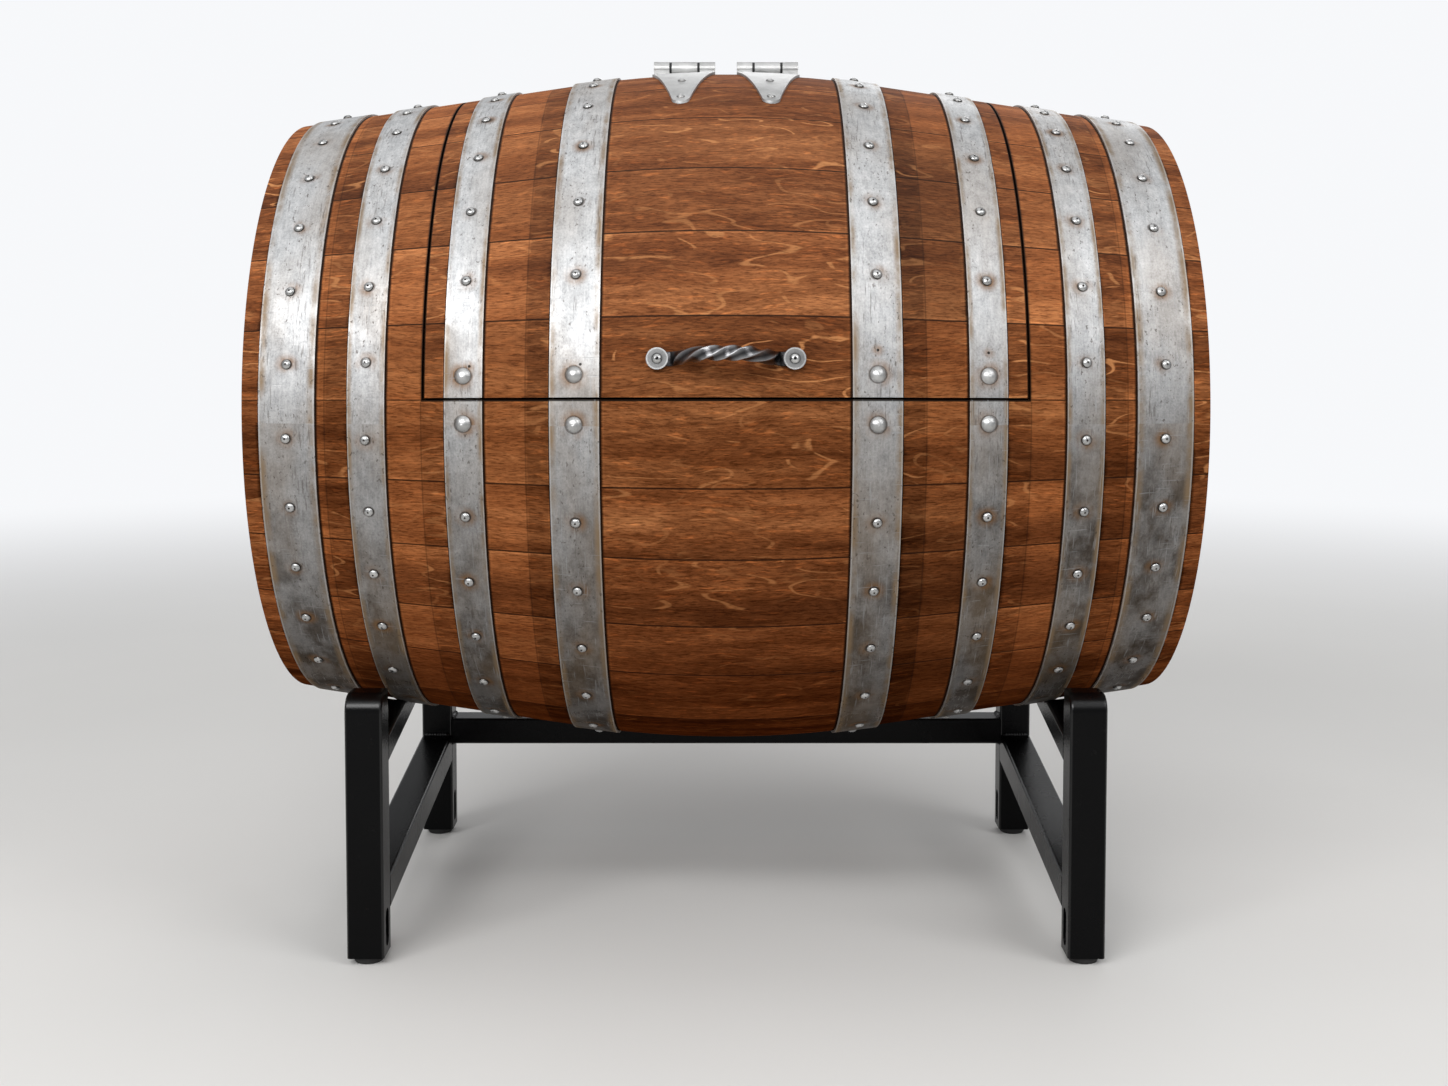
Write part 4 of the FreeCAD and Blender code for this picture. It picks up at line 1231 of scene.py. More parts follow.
@dataclass(frozen=True)
class CoatFinish:
    """A coat or bare metal with plain unevenness: paint, iron, zinc or plastic.

    Heads with a foot shade get a painted contact shadow from its first height over the barrel's skin to its
    second, by its share.
    A finish with a ridge colour has it where the mesh's wear attribute is 1. Rings give brightness by
    distance from the middle of the handle's rosettes, as shares of the reach, and hold painted shade and
    painted highlight rings. Edge gloss is the polish of rounded edges, which face none of the three axes.
    """

    name: str
    colour: Colour
    worn: Colour
    scale: float
    metallic: float
    roughness: float
    wear: float
    patchy: float = 0.2
    shades: tuple[Pair, Pair] = ((0.3, 0.72), (0.7, 1.25))
    relief: float = 0.3 * MM
    bump: float = 0.5
    specular: float = 0.5
    foot_shade: Fade | None = None
    # colour of the painted contact shadow
    foot_shade_colour: Colour = (0.035, 0.028, 0.022)
    ridge: Colour | None = None
    ridge_fall: float = 1.6
    edge_gloss: Fade | None = None
    rings: tuple[Pair, ...] = ()
    ring_reach: float = 10.0 * MM

    def material(self, effects: Effects) -> Material:
        """Write the material from the shared mottle.

        Args:
            effects: Shared groups.

        Returns:
            The material.
        """
        material, g, shader = new_material(self.name)
        coat = g.use(effects.mottle, Scale=self.scale)
        colour = g.tint(self.colour, g.grey_ramp(coat["Cloud"], self.shades))
        if self.rings:
            # painted shade and painted highlight rings round the middle of each rosette
            away = g.use(effects.rosette_place)["Away"] / self.ring_reach
            colour = g.tint(colour, g.grey_ramp(away, self.rings))
        if self.ridge:
            wear = g.read("ShaderNodeAttribute", "Fac", attribute_name="wear")
            colour = g.mix(wear**self.ridge_fall, colour, self.ridge)
        colour = g.mix(coat["Scuff"] * self.wear, colour, self.worn)
        # painted contact shadow round the foot of each head
        if self.foot_shade:
            lift = g.use(effects.barrel_place)["Lift"]
            colour = g.mix(g.fade(lift, *self.foot_shade), colour, self.foot_shade_colour)
        g.feed(shader.inputs["Base Color"], colour)
        shader.inputs["Metallic"].default_value = self.metallic
        shader.inputs["Specular IOR Level"].default_value = self.specular
        if self.edge_gloss:
            x, y, z = (abs(part) for part in g.parts(g.read("ShaderNodeTexCoord", "Normal")))
            shader.inputs["Coat Roughness"].default_value = self.roughness
            g.feed(shader.inputs["Coat Weight"], g.fade(x.most(y).most(z), *self.edge_gloss))
        g.feed(shader.inputs["Roughness"], coat["Cloud"] * self.patchy + (self.roughness - self.patchy / 2))
        add_bump(g, shader, coat["Skin"], self.relief, self.bump)
        return material


def dress(nodes: Sequence[str], material: Material) -> None:
    """Put a material into every slot of some CAD nodes.

    Args:
        nodes: Names of the nodes.
        material: What they get.
    """
    for name in nodes:
        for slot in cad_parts[name].material_slots:
            slot.material = material
        log.info("dressed %s with %s", name, material.name)


def shells(
    name: str, points: Array, materials: Sequence[Material], inner_row: int | None = None
) -> bpy.types.Object:
    """Closed shells, each a closed profile carried along a path, in one piece.

    Args:
        name: Name of the piece.
        points: Places shaped (shells, path steps, profile points, 3).
        materials: One material, or two with the second from inner_row on.
        inner_row: Path step from which faces take the second material.

    Returns:
        The new object.
    """
    count, rows, columns, _ = points.shape
    row = np.arange(rows - 1)[:, None] * columns
    column = np.arange(columns)[None, :]
    after = (column + 1) % columns
    corners = [row + column, row + after, row + columns + after, row + columns + column]
    quads = np.stack(corners, -1).reshape(-1, 4)
    caps = np.stack([np.arange(columns)[::-1], np.arange(columns) + (rows - 1) * columns])
    flat = points.reshape(count, -1, 3)
    a, b, c, d = (flat[:, quads[:, index]] for index in range(4))
    outward = (a + b + c + d) / 4 - flat.mean(1, keepdims=True)
    facing = np.einsum("nij,nij->n", np.cross(c - a, d - b), outward)
    points = np.where(facing[:, None, None, None] < 0, points[:, :, ::-1], points)
    start = np.arange(count)[:, None, None] * rows * columns
    sides = (quads[None] + start).reshape(-1, 4).tolist()
    ends = (caps[None] + start).reshape(-1, columns).tolist()
    mesh = bpy.data.meshes.new(name)
    mesh.from_pydata(points.reshape(-1, 3).tolist(), [], sides + ends)
    for material in materials:
        mesh.materials.append(material)
    if inner_row is not None:
        of_quads = np.tile(np.repeat(np.arange(rows - 1) >= inner_row, columns), count)
        of_ends = np.tile([False, True], count)
        mesh.polygons.foreach_set("material_index", np.concatenate([of_quads, of_ends]).astype(np.int32))
    mesh.polygons.foreach_set("use_smooth", np.ones(len(mesh.polygons), bool))
    mesh.set_sharp_from_angle(angle=math.radians(SHARP_FROM))
    mesh.update()
    piece = bpy.data.objects.new(name, mesh)
    bpy.context.scene.collection.objects.link(piece)
    return piece


def join_body(piece: bpy.types.Object, body: Body) -> None:
    """Let a new piece ride on a body.

    Args:
        piece: The new piece.
        body: What it rides on.
    """
    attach(piece, body.value)
    log.info("built %s on %s", piece.name, body.value)


def rounded_box(
    wide: Array | float, deep: Array | float, corner: float, steps: int = 4
) -> tuple[Array, Array]:
    """A rectangle with quarter-circle corners.

    Args:
        wide: Full width, one or many.
        deep: Full depth, one or many.
        corner: Corner radius.
        steps: Points on each corner.

    Returns:
        Both coordinates, shaped (sections, points).
    """
    wide, deep = np.broadcast_arrays(np.atleast_1d(wide).astype(float), np.atleast_1d(deep).astype(float))
    angle = np.radians(np.arange(4)[:, None] * 90 + np.linspace(0, 90, steps)[None, :]).ravel()
    side_one = np.repeat([1, -1, -1, 1], steps)
    side_two = np.repeat([1, 1, -1, -1], steps)
    round_off = np.minimum(corner, np.minimum(wide, deep) / ROUND_MOST)[:, None]
    one = side_one * (wide[:, None] / 2 - round_off) + round_off * np.cos(angle)
    two = side_two * (deep[:, None] / 2 - round_off) + round_off * np.sin(angle)
    return one, two


@dataclass
class Shell:
    """The oak of the barrel and its lid: staves, stave ends and heads."""

    effects: Effects
    form: BarrelForm
    head_boards: int = 6
    stave: OakFinish = OakFinish(
        name="oiled_stave_oak",
        deep=(0.118, 0.038, 0.0130),
        middle=(0.240, 0.082, 0.0275),
        pale=(0.362, 0.141, 0.0525),
        fleck=(0.50, 0.215, 0.080),
        grain=Grain.STAVE,
        specular=0.0,
        bands=(
            (0.0, 1.0, 1.0, 0.0),
            (109.0, 1.0, 1.0, 0.0),
            (111.5, 0.35, 1.0, 0.0),
            (156.0, 0.30, 1.2, 0.0),
            (158.5, 0.80, 1.1, 0.0),
            (177.0, 0.80, 1.1, 0.0),
            (179.0, 1.13, 0.45, 0.2),
            (214.0, 1.13, 0.45, 0.2),
            (216.5, 0.35, 1.0, 0.5),
            (251.5, 0.30, 1.0, 0.0),
            (253.5, 1.02, 1.1, 0.0),
            (272.0, 1.02, 1.1, 0.0),
            (274.0, 1.18, 0.45, 0.3),
            (303.5, 1.18, 0.45, 0.3),
            (306.0, 0.35, 1.0, 0.0),
            (341.0, 0.30, 1.0, 0.0),
            (343.0, 0.88, 1.1, 0.2),
            (362.0, 0.88, 1.1, 0.2),
            (363.0, 1.08, 0.6, 0.6),
            (369.0, 1.08, 0.6, 0.6),
            (371.0, 0.35, 1.0, 0.0),
            (424.0, 0.35, 1.2, 0.0),
            (426.0, 1.18, 1.2, 0.1),
            (440.0, 1.08, 1.2, 0.1),
        ),
    )

    def dress(self) -> None:
        """Give the staves and the heads their oak."""
        staves = [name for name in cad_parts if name.startswith(("staves_", "lid_stave_"))]
        dress(staves + ["left_stave_ends", "right_stave_ends"], self.stave.material(self.effects, self.form))
        head = OakFinish(
            name="oiled_head_oak",
            deep=(0.12, 0.043, 0.016),
            middle=(0.24, 0.092, 0.036),
            pale=(0.36, 0.155, 0.065),
            fleck=(0.48, 0.26, 0.13),
            grain=Grain.UPRIGHT,
            rays=0.34,
            boards=Boards.across("right_head", self.head_boards),
        )
        dress(["left_head", "right_head"], head.material(self.effects, self.form))


@dataclass
class Interior:
    """The deck and its bearers, and the strips the lid closes onto."""

    effects: Effects
    form: BarrelForm
    deck_boards: int = 4

    def dress(self) -> None:
        """Give the inside woodwork a lighter, drier oak."""
        dry = OakFinish(
            name="dry_inside_oak",
            deep=(0.20, 0.095, 0.040),
            middle=(0.37, 0.19, 0.085),
            pale=(0.50, 0.29, 0.14),
            fleck=(0.58, 0.37, 0.20),
            grain=Grain.LENGTHWISE,
            roughness=0.6,
            boards=Boards.across("deck_boards", self.deck_boards),
        )
        nodes = ["deck_boards", "deck_bearers", "left_lid_rest", "right_lid_rest"]
        dress(nodes, dry.material(self.effects, self.form))


@dataclass
class Hoops:
    """Eight hoops, four of them sawn through with the lid, with their rivets and lapped ends.

    The rivets' profile gives radius and height over the seat in millimetres, and laps give a hoop and a turn.
    """

    effects: Effects
    form: BarrelForm
    band_lift: float = 2.2 * MM
    rivet_profile: tuple[Pair, ...] = (
        (4.7, -0.6),
        (4.7, 0.5),
        (4.1, 1.7),
        (2.8, 2.7),
        (1.0, 3.0),
        (0.8, 1.9),
    )
    rivet_sides: int = 12
    rivet_zigzag: float = 0.4 * MM
    saddle_from: float = -122.0
    saddle_to: float = -58.0
    lap_length: float = 62.0 * MM
    lap_thick: float = 1.9 * MM
    lap_round: float = 0.6 * MM
    lap_steps: int = 17
    lap_rivet_share: float = 0.32
    lap_clear_turn: float = 1.0
    lap_clear_along: float = 30.0 * MM
    laps: tuple[tuple[str, float], ...] = (
        ("left_bilge_hoop", -176.0),
        ("right_bilge_hoop", -142.0),
        ("left_french_hoop", -150.0),
        ("right_french_hoop", -128.0),
        ("left_quarter_hoop", -205.0),
        ("right_quarter_hoop", -168.0),
        ("left_chime_hoop", -160.0),
        ("right_chime_hoop", -212.0),
    )
    sawn: tuple[str, ...] = ("bilge", "french")
    steel: BandFinish = BandFinish(
        name="lap_steel",
        dark=(0.34, 0.345, 0.35),
        middle=(0.48, 0.485, 0.49),
        bright=(0.61, 0.61, 0.61),
        stain=(0.235, 0.165, 0.100),
        tarnish_and_shade=(0.13, 0.104, 0.083),
    )

    def span(self, node: str) -> Pair:
        """Middle along the barrel and half width of a hoop."""
        low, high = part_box(node)
        return (low[0] + high[0]) / 2, (high[0] - low[0]) / 2

    def dress(self) -> None:
        """Give each kind of hoop its own band of steel."""
        for kind in self.form.kinds:
            centre, half = self.span(f"right_{kind}_hoop")
            band = replace(self.steel, name=f"{kind}_hoop_steel", centre=centre, half_width=half)
            band = replace(band, sawn=kind in self.sawn)
            hoops = [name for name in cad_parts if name.endswith(f"{kind}_hoop")]
            dress(hoops, band.material(self.effects, self.form))

    def rivet_rings(self, x: Array, turn: Array, lift: Array | float) -> Array:
        """Rivet heads: the profile's radius and height turned about the skin's normal at each place.

        Args:
            x: Places along the barrel.
            turn: Angles up from the front.
            lift: Height of the seat over the skin.

        Returns:
            Points shaped (rivets, rings, sides, 3).
        """
        seat, along, around, out = self.form.frames(x, turn, lift)
        radius, height = np.array(self.rivet_profile).T[:, None, :, None, None] * MM
        angle = np.linspace(0, 2 * np.pi, self.rivet_sides, endpoint=False)[None, :, None]
        flat = along[:, None, :] * np.cos(angle) + around[:, None, :] * np.sin(angle)
        return seat[:, None, None, :] + radius * flat[:, None] + height * out[:, None, None, :]

    def rivet_spots(self) -> tuple[Array, Array, Array, Array]:
        """Where rivets sit: one to a stave on every hoop, in a slight zigzag, clear of bolts and saddles.

        Returns:
            Places along and turns of the cabinet's rivets, then the same of the lid's.
        """
        lid = self.form.middles(self.form.lid_seams())
        body = self.form.middles(self.form.body_seams())
        fixed_x, fixed_turn, lid_x, lid_turn = [], [], [], []

        def add_row(centre: float, turns: Array, places: list[Array], angles: list[Array]) -> None:
            """Put rivets at some turns of one hoop."""
            places.append(centre + self.rivet_zigzag * (-1.0) ** np.arange(len(turns)))
            angles.append(turns)

        for kind in self.form.kinds:
            for side in ("left", "right"):
                centre = self.span(f"{side}_{kind}_hoop")[0]
                turns = body[1:] if kind in self.sawn else np.concatenate([lid, body])
                if kind == "quarter":
                    turns = turns[(turns < self.saddle_from) | (turns > self.saddle_to)]
                add_row(centre, turns, fixed_x, fixed_turn)
                if kind in self.sawn:
                    add_row(centre, lid[1:], lid_x, lid_turn)
        return tuple(np.concatenate(each) for each in (fixed_x, fixed_turn, lid_x, lid_turn))

    def lap_places(self) -> list[tuple[str, float]]:
        """Each hoop's lap, moved to the middle of the stave it lies on."""
        middles = self.form.middles(self.form.body_seams())
        return [(node, float(middles[np.abs(middles - turn).argmin()])) for node, turn in self.laps]

    def lap_rings(self) -> Array:
        """Lapped hoop ends: a rounded flat section carried round the barrel on top of each hoop.

        Returns:
            Points shaped (laps, steps, section points, 3).
        """
        all_laps = []
        for node, middle in self.lap_places():
            centre, half = self.span(node)
            across, rise = rounded_box(2 * half - self.lap_round, self.lap_thick, self.lap_round, 3)
            reach = math.degrees(self.lap_length / 2 / float(self.form.skin(np.array(centre))))
            turn = np.linspace(middle - reach, middle + reach, self.lap_steps)
            base, along, _, out = self.form.frames(centre, turn, self.band_lift + self.lap_thick / 2)
            ring = along[:, None, :] * across[0][None, :, None] + out[:, None, :] * rise[0][None, :, None]
            all_laps.append(base[:, None, :] + ring)
        return np.stack(all_laps)

    def build(self, zinc: Material, hollow: Material) -> None:
        """Make the rivets of both bodies and the lapped ends.

        Args:
            zinc: Material of the rivet heads.
            hollow: Dark material of the dimple in each head.
        """
        fixed_x, fixed_turn, lid_x, lid_turn = self.rivet_spots()
        places = self.lap_places()
        centres = np.array([self.span(node)[0] for node, _ in places])
        middles = np.array([middle for _, middle in places])
        reach = np.degrees(self.lap_length * self.lap_rivet_share / self.form.skin(centres))
        lap_x = np.concatenate([centres, centres])
        lap_turn = np.concatenate([middles - reach, middles + reach])
        near_turn = np.abs(fixed_turn[:, None] - middles[None]) < self.lap_clear_turn
        near_along = np.abs(fixed_x[:, None] - centres[None]) < self.lap_clear_along
        clear = ~(near_turn & near_along).any(1)
        fixed = self.rivet_rings(fixed_x[clear], fixed_turn[clear], self.band_lift)
        lapped = self.rivet_rings(lap_x, lap_turn, self.band_lift + self.lap_thick)
        lid = self.rivet_rings(lid_x, lid_turn, self.band_lift)
        dimple = len(self.rivet_profile) - 2
        rivets = shells("cabinet_hoop_rivets", np.concatenate([fixed, lapped]), (zinc, hollow), dimple)
        join_body(rivets, Body.CABINET)
        join_body(shells("lid_hoop_rivets", lid, (zinc, hollow), dimple), Body.LID)
        lap_steel = self.steel.material(self.effects, self.form)
        join_body(shells("hoop_laps", self.lap_rings(), (lap_steel,)), Body.CABINET)


@dataclass
class Hinges:
    """Two strap hinges with their pins and washers."""

    effects: Effects
    leaf: CoatFinish = CoatFinish(
        name="hinge_leaf_steel",
        colour=(0.43, 0.43, 0.425),
        worn=(0.20, 0.165, 0.13),
        scale=34.0,
        metallic=0.85,
        roughness=0.42,
        wear=0.6,
    )
    pin: CoatFinish = replace(
        leaf, name="hinge_pin_steel", colour=(0.10, 0.095, 0.09), worn=(0.16, 0.13, 0.10), roughness=0.45
    )

    def dress(self, plastic: Material) -> None:
        """Give the leaves a dull plain steel, the pins a darker one and the washers plastic.

        Args:
            plastic: Material of the washers.
        """
        dress([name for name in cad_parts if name.endswith("_leaf")], self.leaf.material(self.effects))
        dress(["left_hinge_pin", "right_hinge_pin"], self.pin.material(self.effects))
        dress(["hinge_washers"], plastic)


@dataclass
class Handle:
    """A bowed square bar, twisted between two flattened ends."""

    form: BarrelForm
    standoff: float = 32.0 * MM
    rise: float = 38.0 * MM
    bar: float = 10.5 * MM
    twist: float = -540.0
    pad_width: float = 13.0 * MM
    pad_thick: float = 3.0 * MM
    pad_sink: float = 0.7 * MM
    flat_margin: float = 10.1 * MM
    twist_share: float = 0.92
    swell_rate: float = 2.4
    hollow: float = 0.90
    corner: float = 1.3 * MM
    wear: tuple[float, ...] = (1.0, 0.75, 0.0, 0.75, 1.0)
    steps: int = 241

    def hollowed(self, side: Array) -> Array:
        """Add a point in the middle of each face of a four-cornered section, drawn in towards its centre.

        Args:
            side: One coordinate of the section, shaped (sections, 16), four points to a corner.

        Returns:
            The coordinate, shaped (sections, 20), each face's point third in its five.
        """
        corners = side.reshape(len(side), 4, 4)
        after = np.roll(corners, -1, axis=1)
        middle = self.hollow * (corners[..., 3:] + after[..., :1]) / 2
        return np.concatenate([corners[..., 2:], middle, after[..., :2]], -1).reshape(len(side), -1)

    def places(self) -> Array:
        """Steps along the bar from one end to the other."""
        return np.linspace(-1, 1, self.steps) * (self.form.handle_half + self.pad_width / 2)

    def climb(self) -> Array:
        """Share of the rise that each step has behind it, 0 on the flat ends and 1 over the middle."""
        reach = self.form.handle_half - self.flat_margin - np.abs(self.places())
        return np.clip(reach / self.rise, 0, 1)

    def swell(self) -> Array:
        """How far each step's section has grown from the flat end to the square bar."""
        share = np.minimum(1.0, self.climb() * self.swell_rate)
        return share * share * (3 - 2 * share)

    def rings(self) -> Array:
        """The bar's skin.

        Its section is a rounded square carried along a bow. The bow rises over each end by half a cosine,
        the section swells from the flat pad to the square bar, and the section turns evenly about the bow.

        Returns:
            Points shaped (1, steps, section points, 3).
        """
        at = self.places()
        flat_until = self.form.handle_half - self.flat_margin
        twist_half = flat_until * self.twist_share
        rise = self.climb()
        lift = 0.5 - 0.5 * np.cos(np.pi * rise)
        fall = -np.sign(at) * np.sin(np.pi * rise) * np.pi / 2 / self.rise
        tilt = np.arctan(fall * self.standoff)
        swell = self.swell()
        wide = self.pad_width + (self.bar - self.pad_width) * swell
        deep = self.pad_thick + (self.bar - self.pad_thick) * swell
        turn = np.clip((at + twist_half) / (2 * twist_half), 0, 1)
        twist = np.radians(self.twist * turn)[:, None]
        one, two = (self.hollowed(side) for side in rounded_box(wide, deep, self.corner))
        across = one * np.cos(twist) - two * np.sin(twist)
        upward = one * np.sin(twist) + two * np.cos(twist)
        along = at[:, None] - np.sin(tilt)[:, None] * upward
        bow = self.form.bilge_radius - self.pad_sink + deep / 2 + lift * self.standoff
        height = bow[:, None] + np.cos(tilt)[:, None] * upward
        lean = math.radians(self.form.handle_turn)
        y = self.form.axis_y - height * math.cos(lean) + across * math.sin(lean)
        z = self.form.axis_z + height * math.sin(lean) + across * math.cos(lean)
        return np.stack([along, y, z], -1)[None]

    def build(self, iron: Material) -> None:
        """Make the bar in place of the plain one.

        Args:
            iron: Material of the bar.
        """
        piece = shells("twisted_handle", self.rings(), (iron,))
        wear = piece.data.attributes.new("wear", "FLOAT", "POINT")
        worn = np.tile(self.wear, 4)[None, :] * self.swell()[:, None]
        wear.data.foreach_set("value", worn.ravel().astype(np.float32))
        join_body(piece, Body.LID)
        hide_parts("handle_bar")


@dataclass
class Stand:
    """The tube stand: legs, rails, saddle arms, stretcher, and the weld beads between them."""

    bead: float = 2.6 * MM
    ripple: float = 3.2 * MM
    ripple_depth: float = 0.14
    bead_end: float = 0.35
    bead_taper: float = 8.0
    bead_sink: float = 0.25
    bead_steps: int = 40
    rail_depth: float = 33.0 * MM
    arm_depth: float = 27.0 * MM
    corner: float = 3.0 * MM

    def dress(self, paint: Material, plastic: Material) -> None:
        """Paint the tubes black and give the glides their plastic.

        Args:
            paint: Material of the tubes.
            plastic: Material of the glides.
        """
        tubes = [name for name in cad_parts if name.endswith(("_leg", "_rail", "_arm", "_stretcher"))]
        dress(tubes, paint)
        dress(["foot_glides"], plastic)

    def bead_ring(self, start: Place, end: Place, out: Place, up: Place) -> Array:
        """One weld bead: a quarter round in the corner of two tubes, swelling and thinning along its run.

        Args:
            start: First end of the corner line.
            end: Last end of it.
            out: Direction along the tube that is welded on.
            up: Direction away from that tube, along the leg.

        Returns:
            Points shaped (steps, section points, 3).
        """
        start, end, out, up = (np.asarray(each, float) for each in (start, end, out, up))
        run = np.linspace(0, 1, self.bead_steps)
        line = start + (end - start) * run[:, None]
        length = float(np.linalg.norm(end - start))
        wave = 1 + self.ripple_depth * np.sin(2 * np.pi * run * length / self.ripple)
        size = self.bead * wave * np.minimum(1.0, self.bead_end + self.bead_taper * np.minimum(run, 1 - run))
        angle = np.radians(np.linspace(0, 90, 6))
        section = np.cos(angle)[:, None] * out + np.sin(angle)[:, None] * up
        section = np.concatenate([section, -self.bead_sink * (out + up)[None]])
        return line[:, None, :] + size[:, None, None] * section[None]

    def build(self, paint: Material) -> None:
        """Make the beads over and under each tube where it meets a leg.

        Args:
            paint: Material of the beads.
        """
        rings = []
        for side in ("left", "right"):
            leg_low, leg_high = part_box(f"front_{side}_leg")
            low_x, high_x = leg_low[0] + self.corner, leg_high[0] - self.corner
            front = leg_high[1]
            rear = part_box(f"rear_{side}_leg")[0][1]
            rail_low, rail_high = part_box(f"{side}_side_rail")
            arm_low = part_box(f"front_{side}_saddle_arm")[0][2]
            arm_high = arm_low + self.arm_depth
            joints = (
                (front, 1.0, rail_low[2], rail_low[2] + self.rail_depth),
                (rear, -1.0, rail_high[2] - self.rail_depth, rail_high[2]),
                (front, 1.0, arm_low, arm_high),
                (rear, -1.0, arm_low, arm_high),
            )
            for face, way, under, over in joints:
                for height, up in ((under, -1.0), (over, 1.0)):
                    first, last = (low_x, face, height), (high_x, face, height)
                    rings.append(self.bead_ring(first, last, (0, way, 0), (0, 0, up)))
            low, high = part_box("rear_stretcher")
            face, way = (low[0], 1.0) if side == "left" else (high[0], -1.0)
            for height, up in ((low[2], -1.0), (high[2], 1.0)):
                first, last = (face, low[1] + self.corner, height), (face, high[1] - self.corner, height)
                rings.append(self.bead_ring(first, last, (way, 0, 0), (0, 0, up)))
        join_body(shells("stand_weld_beads", np.stack(rings), (paint,)), Body.CABINET)


@dataclass
class Studio:
    """A pale floor, soft lamps and the camera at the photograph's place."""

    camera_place: Place = (0.0, -1.8234, 0.6292)
    camera_tilt: float = 3.137
    focal_pixels: float = 1702.0
    middle_row: float = 408.5
    middle_column: float = 726.0
    sensor: float = 36.0
    lamp_aim: Place = (0.0, 0.0, 0.55)
    lamps: tuple[tuple[str, Place, Pair, float], ...] = (
        ("key_lamp", (-1.2, -3.0, 2.3), (3.4, 1.5), 106.0),
        ("fill_lamp", (2.3, -2.0, 2.8), (1.8, 1.8), 36.0),
        ("top_lamp", (-0.2, -0.2, 3.0), (3.0, 2.0), 17.0),
        ("rear_lamp", (0.8, 3.0, 2.6), (2.2, 1.2), 20.0),
    )
    floor_half: float = 9.0
    floor_cells: int = 8
    floor_soft: float = 0.96
    floor_roughness: float = 0.75
    floor_colour: Colour = (0.74, 0.73, 0.71)
    world_colour: Colour = (0.93, 0.94, 0.96)
    world_light: float = 0.40
    mirrored: float = 0.32
    fade: Pair = (1.3, 4.5)

    def build_floor(self) -> None:
        """A level sheet far larger than the object, with faint unevenness in its colour."""
        side = self.floor_cells + 1
        reach = np.linspace(-self.floor_half, self.floor_half, side)
        x, y = np.meshgrid(reach, reach)
        points = np.stack([x, y, np.zeros_like(x)], -1).reshape(-1, 3)
        cells = np.arange(self.floor_cells)
        corner = (cells[:, None] * side + cells[None]).ravel()
        faces = np.stack([corner, corner + 1, corner + side + 1, corner + side], -1)
        mesh = bpy.data.meshes.new("studio_floor")
        mesh.from_pydata(points.tolist(), [], faces.tolist())
        material, g, shader = new_material("pale_floor")
        cloud = g.noise(g.place(), 1.4, 3.0)
        soft = tuple(self.floor_soft * part for part in self.floor_colour)
        g.feed(shader.inputs["Base Color"], g.ramp(cloud, ((0.3, soft), (0.7, self.floor_colour))))
        shader.inputs["Roughness"].default_value = self.floor_roughness
        x, y, _ = g.parts(g.place())
        glow = g.fill(g.add("ShaderNodeEmission"), self.world_colour, self.shown_light(g))
        faded = g.remap(x.beside(y), *self.fade)
        blend = g.fill(g.add("ShaderNodeMixShader"), faded, g.named(shader)["BSDF"], glow)
        g.feed(material.node_tree.nodes["Material Output"].inputs["Surface"], blend)
        mesh.materials.append(material)
        floor = bpy.data.objects.new("studio_floor", mesh)
        bpy.context.scene.collection.objects.link(floor)

    def shown_light(self, g: Graph) -> Value:
        """Strength of the surround: full to the camera, less in polished metal, and weak as a light.

        Args:
            g: Graph of the world or the floor.

        Returns:
            The strength.
        """
        path = g.named(g.add("ShaderNodeLightPath"))
        seen = path["Is Camera Ray"].most(path["Is Glossy Ray"] * self.mirrored)
        return g.fill(g.add("ShaderNodeMapRange"), seen, 0.0, 1.0, self.world_light, 1.0)

    def build_world(self) -> None:
        """A pale surround that the camera and polished metal see, giving less light than it shows."""
        world = bpy.data.worlds.new("pale_surround")
        world.use_nodes = True
        bpy.context.scene.world = world
        g = Graph(world.node_tree)
        back = world.node_tree.nodes["Background"]
        g.feed(back.inputs["Color"], self.world_colour)
        g.feed(back.inputs["Strength"], self.shown_light(g))

    def build_lamps(self) -> None:
        """Soft lamps: a broad key from the upper left, a weak fill, and light from above and behind."""
        for name, place, size, power in self.lamps:
            data = bpy.data.lights.new(name, "AREA")
            data.shape = "RECTANGLE"
            data.size, data.size_y = size
            data.energy = power
            lamp = bpy.data.objects.new(name, data)
            lamp.location = place
            lamp.rotation_euler = (Vector(self.lamp_aim) - Vector(place)).to_track_quat("-Z", "Y").to_euler()
            bpy.context.scene.collection.objects.link(lamp)

    def build_camera(self) -> None:
        """A camera tilted a little down, with part of the view moved to keep uprights near upright."""
        data = bpy.data.cameras.new("photo_camera")
        data.sensor_fit = "HORIZONTAL"
        data.sensor_width = self.sensor
        data.lens = self.focal_pixels / PHOTO_WIDTH * self.sensor
        data.shift_x = (PHOTO_WIDTH / 2 - self.middle_column) / PHOTO_WIDTH
        data.shift_y = -(PHOTO_HEIGHT / 2 - self.middle_row) / PHOTO_WIDTH
        data.clip_end = 50.0
        camera = bpy.data.objects.new("photo_camera", data)
        camera.location = self.camera_place
        camera.rotation_euler = (math.radians(90.0 - self.camera_tilt), 0.0, 0.0)
        bpy.context.scene.collection.objects.link(camera)
        bpy.context.scene.camera = camera

    def build(self) -> None:
        """Set the stage."""
        bpy.context.scene.view_settings.view_transform = "Standard"
        self.build_floor()
        self.build_world()
        self.build_lamps()
        self.build_camera()


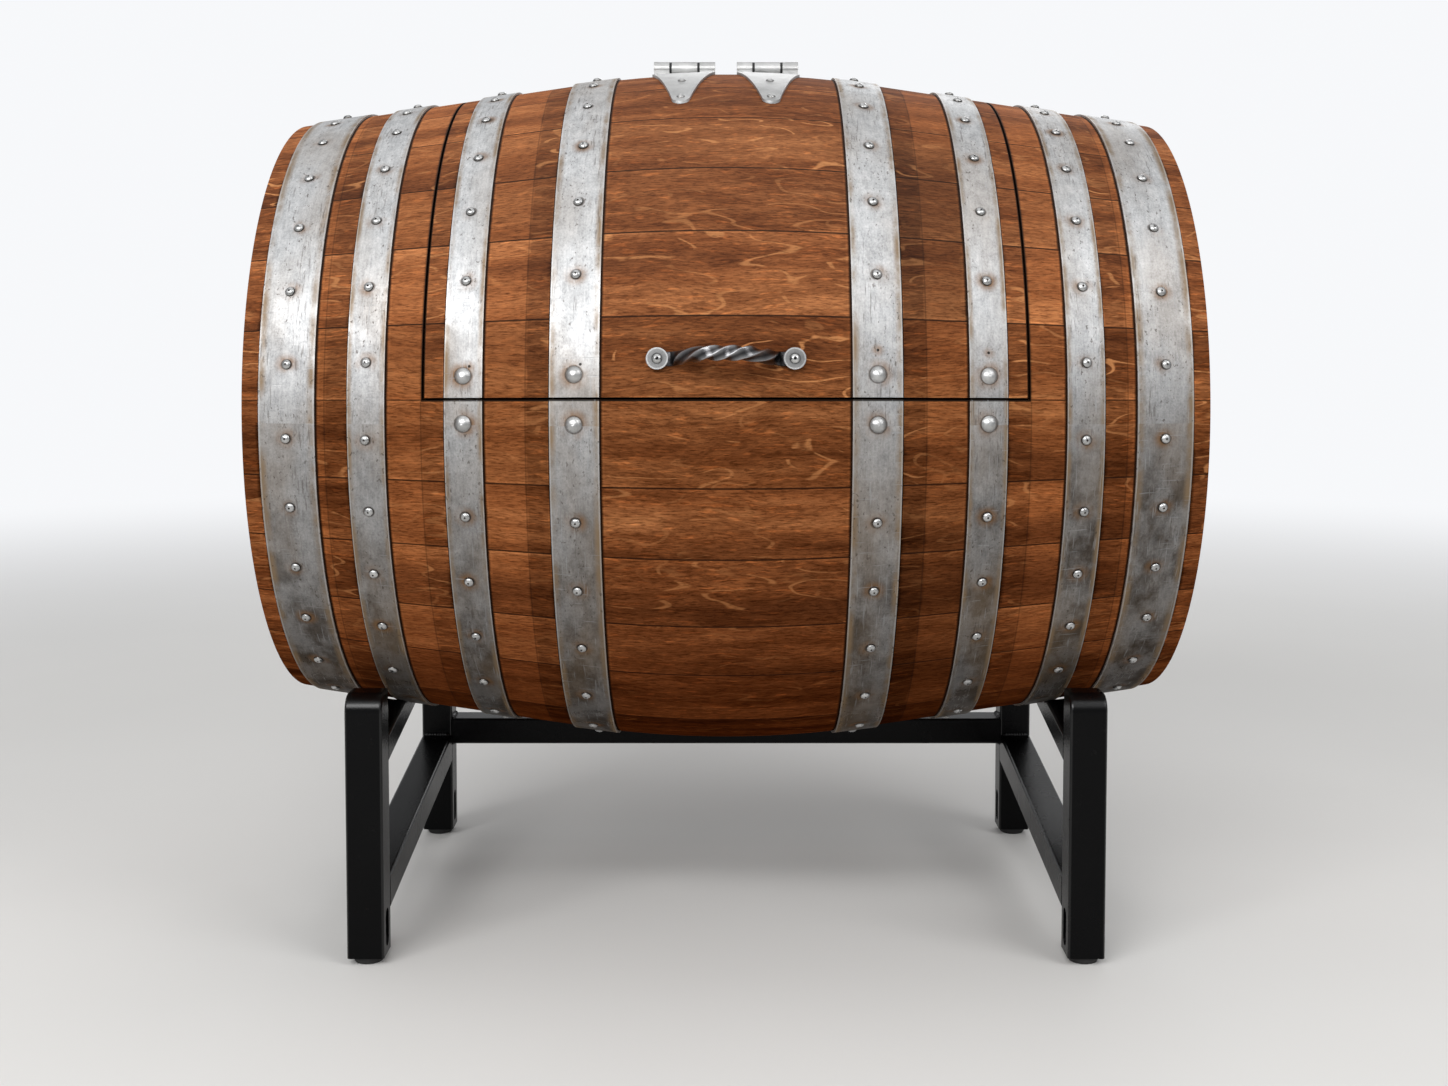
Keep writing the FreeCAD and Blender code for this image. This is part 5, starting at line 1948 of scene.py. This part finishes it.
PAINT = CoatFinish(
    name="satin_black_paint",
    colour=(0.0015, 0.0015, 0.0017),
    worn=(0.03, 0.029, 0.028),
    scale=9.0,
    metallic=0.0,
    roughness=0.26,
    wear=0.2,
    specular=0.09,
    edge_gloss=(0.90, 0.985, 0.6),
)
PLASTIC = CoatFinish(
    name="glide_plastic_black",
    colour=(0.018, 0.018, 0.018),
    worn=(0.06, 0.06, 0.06),
    scale=22.0,
    metallic=0.0,
    roughness=0.55,
    wear=0.3,
    specular=0.25,
)
IRON = CoatFinish(
    name="dark_handle_iron",
    colour=(0.045, 0.044, 0.046),
    worn=(0.20, 0.20, 0.20),
    scale=26.0,
    metallic=1.0,
    roughness=0.30,
    wear=0.4,
    ridge=(0.36, 0.36, 0.37),
)
ZINC = CoatFinish(
    name="fastener_zinc",
    colour=(0.42, 0.42, 0.415),
    worn=(0.24, 0.19, 0.15),
    scale=60.0,
    metallic=1.0,
    roughness=0.28,
    wear=0.5,
    relief=0.2 * MM,
    # painted contact shadow round the foot of rivet and screw heads
    foot_shade=(2.7 * MM, 4.0 * MM, 0.92),
)
BOLT = replace(ZINC, name="bolt_zinc", roughness=0.36, foot_shade=(2.2 * MM, 2.8 * MM, 0.92))
# dark centre: painted shade of the screw's recess, with a brighter ring round it
DRILLED = replace(ZINC, name="handle_screw_zinc", foot_shade=None, rings=((0.13, 0.03), (0.17, 1.3), (0.46, 1.1)))
DIMPLE = CoatFinish(
    name="rivet_dimple",
    colour=(0.06, 0.05, 0.045),
    worn=(0.12, 0.09, 0.07),
    scale=90.0,
    metallic=0.4,
    roughness=0.60,
    wear=0.5,
    relief=0.2 * MM,
)
ROSETTE = CoatFinish(
    name="rosette_steel",
    colour=(0.17, 0.17, 0.17),
    worn=(0.10, 0.095, 0.09),
    scale=40.0,
    metallic=0.85,
    roughness=0.42,
    wear=0.5,
    relief=0.2 * MM,
    # dark ring: painted shadow by the screw; bright ring: painted highlight at the rim
    rings=((0.45, 0.2), (0.54, 0.7), (0.82, 0.85), (0.88, 1.7), (0.98, 1.3)),
)


def main() -> None:
    """Build and dress every sub-assembly in order."""
    logging.basicConfig(level=logging.INFO, format="%(message)s")
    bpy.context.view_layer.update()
    form = BarrelForm()
    effects = Effects.build(form)
    zinc, black, plastic = (finish.material(effects) for finish in (ZINC, PAINT, PLASTIC))
    Shell(effects, form).dress()
    Interior(effects, form).dress()
    hoops = Hoops(effects, form)
    hoops.dress()
    hoops.build(zinc, DIMPLE.material(effects))
    Hinges(effects).dress(plastic)
    dress(["lid_hinge_screws", "body_hinge_screws"], zinc)
    dress(["lid_hoop_bolts", "body_hoop_bolts"], BOLT.material(effects))
    dress(["handle_rosettes"], ROSETTE.material(effects))
    dress(["handle_screws"], DRILLED.material(effects))
    Handle(form).build(IRON.material(effects))
    stand = Stand()
    stand.dress(black, plastic)
    stand.build(black)
    Studio().build()


if __name__ == "__main__":
    main()
